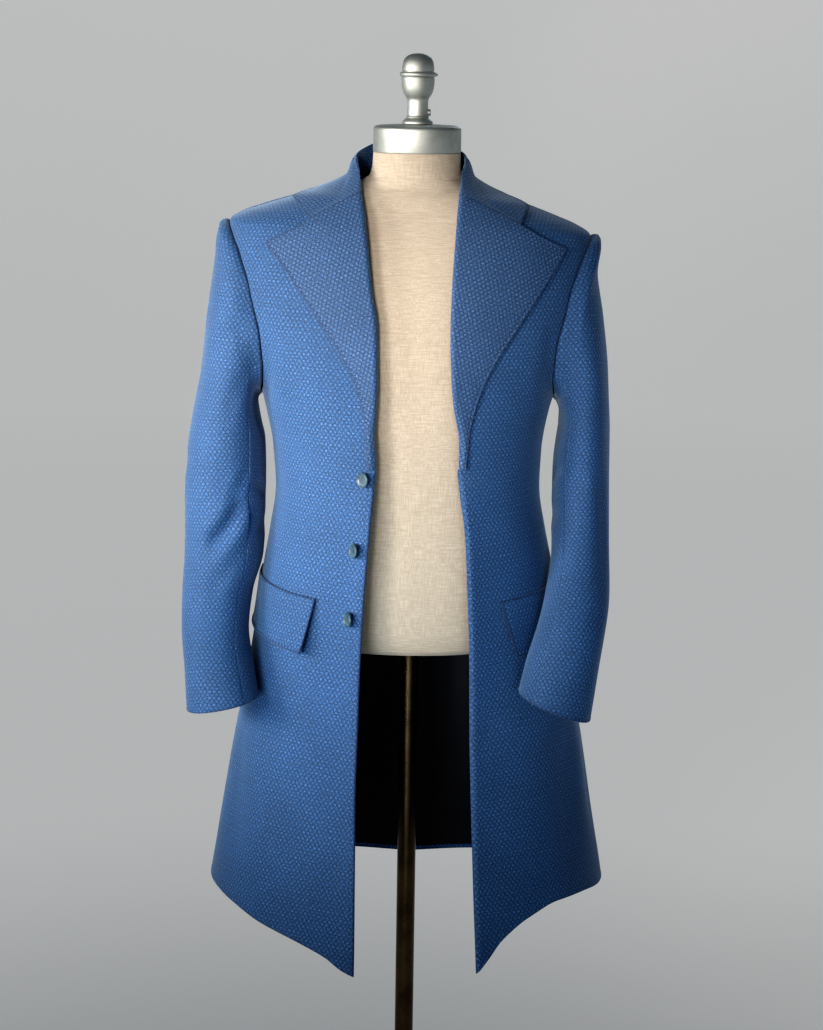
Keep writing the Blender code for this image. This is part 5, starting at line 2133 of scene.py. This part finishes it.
BACK_CREASES = {
    Side.RIGHT: (
        (0.78, 0.14, 0.86, 0.42, 0.017, 0.0026, 0.02),
        (0.3, 0.47, 0.86, 0.44, 0.015, 0.0016, 0.015),
        (0.26, 0.04, 0.7, 0.07, 0.014, 0.0012, 0.01),
        (0.62, 0.66, 0.56, 0.98, 0.026, 0.0028, -0.03),
        (0.24, 0.72, 0.2, 0.99, 0.024, 0.002, 0.02),
    ),
    Side.LEFT: (
        (0.8, 0.15, 0.88, 0.4, 0.016, 0.0024, -0.02),
        (0.34, 0.49, 0.84, 0.45, 0.015, 0.0018, -0.015),
        (0.7, 0.68, 0.64, 0.98, 0.026, 0.0026, 0.03),
        (0.32, 0.7, 0.28, 0.99, 0.024, 0.0022, -0.02),
    ),
}
LAPEL_CREASES = {
    Side.RIGHT: ((0.3, 0.12, 0.62, 0.42, 0.012, 0.0009, 0.03),),
    Side.LEFT: ((0.28, 0.16, 0.6, 0.4, 0.012, 0.0008, -0.03),),
}


@dataclass
class Coat:
    """The coat's cloth pieces, stitches and buttons."""

    finishes: Finishes

    def pieces(self) -> list[ClothPiece]:
        """All cloth pieces, in the order in which they are built.

        Returns:
            The pieces.
        """
        made: list[ClothPiece] = []
        stitched, turned, joined = Edge.STITCHED, Edge.TURNED, Edge.JOINED
        seam, pressed = Edge.SEAM, Edge.PRESSED
        hung = (pressed, pressed, seam, turned)
        for side in Side:
            word = side.word
            made += [
                Front(f"front_{word}", side, (0.31, 1.04), FRONT_AREA[side],
                      measured_at=(0.7, 0.5), creases=FRONT_CREASES[side],
                      borders=(stitched, pressed, seam, turned)),
                Back(f"back_{word}", side, (0.35, 0.99), 0.254, measured_at=(0.7, 0.5),
                     creases=BACK_CREASES[side], borders=hung),
                Lapel(f"lapel_{word}", side, (0.16, 0.36), LAPEL_AREA[side],
                      spacing=(0.0024, 0.0035), wave=0.0004, measured_at=(0.85, 0.4),
                      creases=LAPEL_CREASES[side], borders=(joined, stitched, joined, stitched)),
                Flap(f"pocket_flap_{word}", side, (0.17, 0.083), 0.0138, spacing=(0.003, 0.003),
                     wave=0.0004, borders=(turned, stitched, seam, stitched)),
                Sleeve(f"sleeve_{word}_top", side, (0.25, 0.66), SLEEVE_TOP_AREA[side],
                       wave=0.0008, creases=SLEEVE_CREASES[side],
                       span=SleevePart.TOP.value, borders=hung),
                Sleeve(f"sleeve_{word}_under", side, (0.13, 0.5), SLEEVE_UNDER_AREA[side],
                       wave=0.0008, creases=UNDER_CREASES[side],
                       span=SleevePart.UNDER.value, borders=hung),
            ]
        made.append(
            Collar("collar", Side.LEFT, (0.52, 0.11), 0.0464, spacing=(0.004, 0.0016),
                   wave=0.0002, span=(-1.0, 1.0), measured_at=(0.4, 0.3),
                   borders=(seam, seam, seam, stitched))
        )
        made.append(
            Lining("lining_back", Side.LEFT, (0.66, 0.8), 0.371, spacing=(0.008, 0.009),
                   thickness=LINING_WALL, span=(-1.0, 1.0), fall=(0.21, 0.965),
                   borders=(joined,) * 4)
        )
        return made

    def build(self) -> None:
        """Builds every piece."""
        for piece in self.pieces():
            piece.build(self.finishes)
        for button in BUTTONS:
            button.build(self.finishes)


# Turned pieces: radius and height of each outline's points, in millimetres
CAP_OUTLINE = (
    (0, 36.2), (15, 36.1), (30, 35.8), (42, 35.2), (50, 34.7), (53.5, 34.1), (55.6, 33.2),
    (56.8, 31.9), (57.4, 30.2), (57.5, 28), (57.5, 1), (57.2, 0.3), (56.6, 0), (0, 0),
)
KNOB_OUTLINE = (
    (0, 91), (4.5, 90.7), (9, 89.9), (13, 88.2), (16.2, 85.9), (18.5, 82.8), (19.9, 79),
    (20.7, 74.5), (21, 70), (20.9, 68.4), (20.3, 67.8), (20.3, 67.2), (21.4, 66.9),
    (22.9, 66.3), (23.6, 65.2), (23.8, 63.6), (23.6, 62.2), (22.9, 61.2), (21.8, 60.7),
    (20.9, 60.5), (20.9, 59.9), (21.5, 59.4), (21.6, 57), (21.5, 53.4), (21.2, 49.5),
    (20.6, 45.6), (19.6, 41.9), (18.2, 38.6), (16.4, 35.6), (14.9, 33.6), (14.1, 32),
    (13.7, 30.2), (13.6, 27), (13.6, 12.5), (13.7, 10.4), (14, 10), (14.7, 9.6), (14.9, 9),
    (14.7, 8.4), (14.2, 8.1),
    (14.6, 7.6), (16.2, 6.6), (17.6, 5.4), (18.9, 4.2), (19.8, 3), (20, 2), (20, 0.6),
    (19.4, 0), (0, 0),
)
POLE_OUTLINE = ((0, 870.4), (12.5, 870.4), (12.5, 0), (0, 0))
BASE_OUTLINE = (
    (0, 34), (18.5, 34), (20, 33.4), (21.5, 32.4), (23.5, 30.6), (26, 28), (30, 24.6),
    (40, 22.5), (60, 20.5), (90, 18.5), (120, 16.4), (150, 14), (170, 12), (178, 10.6),
    (182, 9.3), (184.4, 7.6), (185, 5.6), (185, 0.8), (184.4, 0), (0, 0),
)
BUTTON_OUTLINE = (
    (0, 0.75), (4.2, 0.75), (6.6, 0.85), (7.4, 1.1), (8, 1.5), (8.6, 1.68), (9.2, 1.62),
    (9.7, 1.3), (9.95, 0.7), (10, 0.1), (9.85, -0.6), (9.3, -1.2), (8.2, -1.6),
    (6.5, -1.7), (0, -1.7),
)
TURNED_STEPS = 96
BASE_HEIGHT = 0.034
TORSO_TOP = 1.556
CAP_HEIGHT = 0.0362
POLE_FOOT = BASE_HEIGHT + SEAM_GAP
CAP_FOOT = TORSO_TOP + SEAM_GAP
KNOB_FOOT = CAP_FOOT + CAP_HEIGHT + SEAM_GAP

# The knob's set screw and the lug on its band: radius, distance out, height and length
KNOB_FITTINGS = ((0.0043, 0.0146, 0.015, 0.005), (0.0016, 0.024, 0.0635, 0.003))
FITTING_SIDES = 24
FITTING_BEVEL = 0.25

# Buttons: steps of their making, and how their thread and shank lie
BUTTON_STEPS = 48
HOLE_SIDES = 14
HOLE_DEPTH = 0.01
SEAT_STEPS = 1001
SEAT_STEP = 0.002
THREAD_SUNK = 0.00095
THREAD_BEYOND = 0.0005
STRAND_OUT = 0.00035
SHANK_SUNK = 0.0006
SHANK_SPREAD = 1.15


def spun(outline: Sequence[Pair], steps: int) -> BMesh:
    """A mesh turned about the Z axis.

    Args:
        outline: Radii and heights in millimetres, from the top down.
        steps: Faces in a full turn.

    Returns:
        The closed mesh.
    """
    mesh = bmesh.new()
    line = [mesh.verts.new((radius / 1000, 0.0, height / 1000)) for radius, height in outline]
    edges = [mesh.edges.new(pair) for pair in zip(line, line[1:])]
    bmesh.ops.spin(mesh, geom=line + edges, cent=(0.0, 0.0, 0.0), axis=(0.0, 0.0, 1.0),
                   angle=2.0 * math.pi, steps=steps, use_merge=True)
    bmesh.ops.remove_doubles(mesh, verts=mesh.verts[:], dist=1e-7)
    bmesh.ops.recalc_face_normals(mesh, faces=mesh.faces[:])
    return mesh


def linked(data: bpy.types.ID) -> Object:
    """Puts a new object with this data and its name in the scene.

    Args:
        data: A mesh, a light or a camera.

    Returns:
        The object.
    """
    thing = bpy.data.objects.new(data.name, data)
    bpy.context.scene.collection.objects.link(thing)
    return thing


def made_object(
    mesh: BMesh,
    name: str,
    finish: Material,
    sharp: float | None = 40.0,
) -> Object:
    """Makes an object of a mesh, and frees the mesh.

    Args:
        mesh: The mesh.
        name: The object's name.
        finish: Its material.
        sharp: Angle in degrees from which an edge is sharp, or None where none is.

    Returns:
        The object.
    """
    data = bpy.data.meshes.new(name)
    mesh.to_mesh(data)
    mesh.free()
    data.shade_smooth()
    if sharp is not None:
        data.set_sharp_from_angle(angle=math.radians(sharp))
    data.materials.append(finish)
    return linked(data)


@dataclass(frozen=True)
class Button:
    """A dished button with four holes, tilted on its thread shank."""

    node: str
    height: float
    from_edge: float
    radius: float = 0.01
    thickness: float = 0.0034
    tilt: float = 36.0
    hole_radius: float = 0.00085
    hole_out: float = 0.0019
    thread_radius: float = 0.00055
    shank_radius: float = 0.0017

    def seat(self) -> tuple[Vector, Vector]:
        """The place on the cloth under the button's middle, and the cloth's normal there.

        Returns:
            The place and the normal.
        """
        form = CoatForm(Side.RIGHT)
        shares = np.linspace(0.0, 1.0, SEAT_STEPS)
        down = shares[np.argmax(form.front_edge(shares)[1] <= self.height)]
        row = form.front(shares, np.full_like(shares, down))
        across = shares[np.argmax(np.abs(row[:, 0] - row[0, 0]) >= self.from_edge)]
        beside = across + np.array((0.0, SEAT_STEP, 0.0))
        below = down + np.array((0.0, 0.0, SEAT_STEP))
        seat, other, lower = form.front(beside, below)
        normal = Vector(np.cross(other - seat, lower - seat)).normalized()
        return Vector(seat), normal if normal.y < 0.0 else -normal

    def build(self, finishes: Finishes) -> None:
        """Makes the button, its thread bars and its shank.

        Args:
            finishes: The materials.
        """
        seat, normal = self.seat()
        tilt = math.radians(self.tilt)
        beside = Vector((0.0, 0.0, 1.0)).cross(normal).normalized()
        facing = normal * math.cos(tilt) + beside * math.sin(tilt)
        if facing.x > 0.0:
            facing = normal * math.cos(tilt) - beside * math.sin(tilt)
        lift = self.radius * math.sin(tilt) + self.thickness / 2 * math.cos(tilt) + SEAM_GAP
        middle = seat + normal * lift
        turn = facing.to_track_quat("Z", "Y").to_matrix().to_4x4()
        place = Matrix.Translation(middle) @ turn
        mesh = spun(BUTTON_OUTLINE, BUTTON_STEPS)
        mesh.transform(place)
        blank = made_object(mesh, self.node + "_blank", finishes.horn)
        holes = bmesh.new()
        for x in (-self.hole_out, self.hole_out):
            for y in (-self.hole_out, self.hole_out):
                bmesh.ops.create_cone(
                    holes, cap_ends=True, segments=HOLE_SIDES, radius1=self.hole_radius,
                    radius2=self.hole_radius, depth=HOLE_DEPTH,
                    matrix=place @ Matrix.Translation((x, y, 0.0)),
                )
        cutter = made_object(holes, self.node + "_holes", finishes.horn)
        cut = blank.modifiers.new("holes", "BOOLEAN")
        cut.operation = "DIFFERENCE"
        cut.object = cutter
        seen = blank.evaluated_get(bpy.context.evaluated_depsgraph_get())
        data = bpy.data.meshes.new_from_object(seen)
        data.name = self.node + "_horn"
        thing = linked(data)
        for old in (blank, cutter):
            bpy.data.objects.remove(old)
        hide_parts(self.node)
        settle(thing)
        self.thread(place, seat, normal, finishes)

    def thread(self, place: Matrix, seat: Vector, normal: Vector, finishes: Finishes) -> None:
        """Sews the button on.

        Args:
            place: The button's place.
            seat: The place on the cloth under its middle.
            normal: The cloth's normal there.
            finishes: The materials.
        """
        mesh = bmesh.new()
        face = self.thickness / 2 - THREAD_SUNK
        for x in (-self.hole_out, self.hole_out):
            for strand in (-STRAND_OUT, STRAND_OUT):
                bar = bmesh.ops.create_uvsphere(mesh, u_segments=8, v_segments=8, radius=1.0)
                for vert in bar["verts"]:
                    vert.co = place @ Vector((
                        x + strand + vert.co.x * self.thread_radius,
                        vert.co.y * (self.hole_out + THREAD_BEYOND),
                        face + vert.co.z * self.thread_radius,
                    ))
        back = place @ Vector((0.0, 0.0, -self.thickness / 2))
        foot = seat - normal * SHANK_SUNK
        way = (back - foot).to_track_quat("Z", "Y").to_matrix().to_4x4()
        bmesh.ops.create_cone(
            mesh, cap_ends=True, segments=16, radius1=SHANK_SPREAD * self.shank_radius,
            radius2=self.shank_radius, depth=(back - foot).length + SHANK_SUNK,
            matrix=Matrix.Translation((back + foot) / 2) @ way,
        )
        thing = made_object(mesh, self.node + "_thread", finishes.button_thread)
        settle(thing)


BUTTONS = (
    Button("button_1", 1.144, 0.0115),
    Button("button_2", 1.052, 0.0145),
    Button("button_3", 0.961, 0.0155),
)


@dataclass
class DressForm:
    """The covered torso with its neck cap, knob, pole and base."""

    finishes: Finishes
    columns: int = 96
    rows: int = 150

    def build(self) -> None:
        """Builds the torso and the turned pieces."""
        self.torso()
        made = self.finishes
        self.turned("form_neck_cap", CAP_OUTLINE, CAP_FOOT, made.nickel, "brushed_nickel")
        self.turned("form_knob", KNOB_OUTLINE, KNOB_FOOT, made.nickel, "brushed_nickel")
        self.turned("form_pole", POLE_OUTLINE, POLE_FOOT, made.bronze, "bronzed_pole")
        self.turned("form_base", BASE_OUTLINE, 0.0, made.iron, "cast_iron")

    def turned(
        self,
        node: str,
        outline: Sequence[Pair],
        foot: float,
        finish: Material,
        slot: str,
    ) -> None:
        """Makes a turned piece in place of its node.

        Args:
            node: The node.
            outline: Radii and heights in millimetres, from the top down.
            foot: Height of the piece's foot.
            finish: Its material.
            slot: Not used.
        """
        mesh = spun(outline, TURNED_STEPS)
        if node == "form_knob":
            self.knob_fittings(mesh)
        bmesh.ops.translate(mesh, verts=mesh.verts[:], vec=(0.0, 0.0, foot))
        thing = made_object(mesh, node + "_turned", finish, 35.0)
        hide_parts(node)
        settle(thing)

    def knob_fittings(self, mesh: BMesh) -> None:
        """Adds the set screw's head and the small lug on the knob's band.

        Args:
            mesh: The knob's mesh, which takes them.
        """
        for radius, at, rise, depth in KNOB_FITTINGS:
            place = Matrix.Translation((at, 0.0, rise)) @ Matrix.Rotation(math.pi / 2, 4, "Y")
            added = bmesh.ops.create_cone(
                mesh, cap_ends=True, segments=FITTING_SIDES, radius1=radius, radius2=radius,
                depth=depth, matrix=place,
            )["verts"]
            rim = [e for e in mesh.edges if all(v in added for v in e.verts)
                   and all(v.co.x > at for v in e.verts)]
            bmesh.ops.bevel(mesh, geom=rim, offset=FITTING_BEVEL * radius, segments=3,
                            offset_type="OFFSET", affect="EDGES", profile=0.5, material=-1)

    def torso(self) -> None:
        """The torso, a loft through the form's sections with its top and bottom closed."""
        heights = np.interp(
            np.linspace(0.0, 1.0, self.rows), np.linspace(0.0, 1.0, len(TORSO.keys)), TORSO.keys
        )
        turns = np.linspace(0.0, 360.0, self.columns + 1)
        across, down = np.meshgrid(turns, heights)
        points = CoatForm.torso(across, down)
        mesh = bmesh.new()
        for vert, i, j in numbered_grid(mesh, self.rows, self.columns + 1):
            vert.co = points[i, j % self.columns]
        bmesh.ops.remove_doubles(mesh, verts=mesh.verts[:], dist=1e-6)
        bmesh.ops.holes_fill(mesh, edges=[e for e in mesh.edges if e.is_boundary], sides=0)
        bmesh.ops.recalc_face_normals(mesh, faces=mesh.faces[:])
        thing = made_object(mesh, "form_torso_linen", self.finishes.linen, 50.0)
        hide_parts("form_torso")
        settle(thing)


@dataclass(frozen=True)
class Lamp:
    """A soft lamp: a spot where it has a cone, in degrees, and a panel otherwise."""

    name: str
    at: Triple
    to: Triple
    size: float
    watts: float
    tint: Triple = (1.0, 1.0, 1.0)
    cone: float = 0.0

    def build(self) -> None:
        """Makes the lamp."""
        data = bpy.data.lights.new(self.name, "SPOT" if self.cone else "AREA")
        data.energy = self.watts
        data.color = self.tint
        if self.cone:
            data.spot_size = math.radians(self.cone)
            data.spot_blend = 1.0
            data.shadow_soft_size = self.size
        else:
            data.size = self.size
        thing = linked(data)
        thing.location = self.at
        way = Vector(self.to) - Vector(self.at)
        thing.rotation_euler = way.to_track_quat("-Z", "Y").to_euler()


WARM, PALE, COOL = (1.1, 1.0, 0.92), (0.95, 1.0, 1.05), (0.9, 1.0, 1.1)
LAMPS = (
    Lamp("key", (-1.8, -0.7, 1.5), (-0.2, 0.0, 1.25), 0.45, 385.0, WARM, 38.0),
    Lamp("front_key", (-1.3, -1.7, 1.5), (-0.15, -0.1, 1.2), 0.45, 380.0, WARM, 30.0),
    Lamp("cuff", (-0.9, -1.9, 0.9), (-0.26, -0.1, 0.92), 0.3, 380.0, PALE, 13.0),
    Lamp("lapel", (-0.5, -2.4, 1.45), (-0.12, -0.12, 1.36), 0.3, 500.0, (1.2, 1.0, 0.88), 14.0),
    Lamp("arm", (0.5, -2.3, 1.2), (0.24, -0.08, 1.1), 0.3, 190.0, COOL, 13.0),
    Lamp("back", (0.8, 3.0, 2.6), (0.0, 0.1, 1.05), 0.5, 80.0, PALE, 30.0),
    Lamp("skirt", (-0.5, -2.3, 0.9), (-0.08, -0.15, 0.8), 0.3, 115.0, COOL, 20.0),
)
WORLD_LIGHT = 0.14
WORLD_TINT = rgba(0.84, 1.0, 1.14)
TONE_LEVELS = (0.01, 0.025, 0.05, 0.1, 0.2, 0.4, 0.7)

# The backdrop: its flat radius, the radius and angle of its curve, and its steps
FLOOR_FLAT = 9.0
FLOOR_CURVE = 4.0
FLOOR_RISE = 75.0
FLOOR_STEPS = 12
FLOOR_SIDES = 96


@dataclass
class Studio:
    """Camera, lights and the plain backdrop."""

    camera_at: Triple = (0.0, -3.6, 1.71)
    pitch: float = 80.0
    roll: float = 0.87
    sensor: float = 36.0
    lens: float = 36.0 * 2736.0 / 1030.0
    toe: float = 0.03

    def build(self) -> None:
        """Makes all of it."""
        self.camera()
        for lamp in LAMPS:
            lamp.build()
        self.backdrop()
        scene = bpy.context.scene
        self.tone(scene.view_settings)
        world = bpy.data.worlds.new("studio")
        scene.world = world
        world.use_nodes = True
        sky = world.node_tree.nodes["Background"].inputs
        sky["Color"].default_value = WORLD_TINT
        sky["Strength"].default_value = WORLD_LIGHT

    def tone(self, settings: bpy.types.ColorManagedViewSettings) -> None:
        """A print's tones: the deepest shades fall off a little faster than the light does.

        Args:
            settings: The scene's view settings.
        """
        settings.view_transform = "Standard"
        settings.use_curve_mapping = True
        curve = settings.curve_mapping.curves[3]
        for light in TONE_LEVELS:
            curve.points.new(light, light**2 * (1.0 + self.toe) / (light + self.toe))
        settings.curve_mapping.update()

    def camera(self) -> None:
        """A camera at the photograph's viewing angle."""
        data = bpy.data.cameras.new("camera")
        data.sensor_fit = "VERTICAL"
        data.sensor_height = self.sensor
        data.lens = self.lens
        data.clip_end = 50.0
        thing = linked(data)
        turn = Euler((math.radians(self.pitch), 0.0, 0.0)).to_matrix().to_4x4()
        roll = Matrix.Rotation(math.radians(self.roll), 4, "Z")
        thing.matrix_world = Matrix.Translation(self.camera_at) @ turn @ roll
        bpy.context.scene.camera = thing

    def backdrop(self) -> None:
        """A pale round floor that curves up all round, far outside the object."""
        mesh = bmesh.new()
        bmesh.ops.create_circle(mesh, cap_ends=True, segments=FLOOR_SIDES, radius=FLOOR_FLAT)
        for step in range(1, FLOOR_STEPS + 1):
            bend = math.radians(FLOOR_RISE) * step / FLOOR_STEPS
            edges = [edge for edge in mesh.edges if edge.is_boundary]
            for item in bmesh.ops.extrude_edge_only(mesh, edges=edges)["geom"]:
                if isinstance(item, bmesh.types.BMVert):
                    way = Vector((item.co.x, item.co.y, 0.0)).normalized()
                    item.co = way * (FLOOR_FLAT + FLOOR_CURVE * math.sin(bend))
                    item.co.z = FLOOR_CURVE * (1.0 - math.cos(bend))
        bmesh.ops.recalc_face_normals(mesh, faces=mesh.faces[:])
        made_object(mesh, "floor", Backdrop().make("pale_paper"), None)


def main() -> None:
    """Builds the coat, its form and the studio."""
    logging.basicConfig(level=logging.INFO, format="%(name)s: %(message)s")
    finishes = Finishes()
    Studio().build()
    Coat(finishes).build()
    DressForm(finishes).build()


if __name__ == "__main__":
    main()
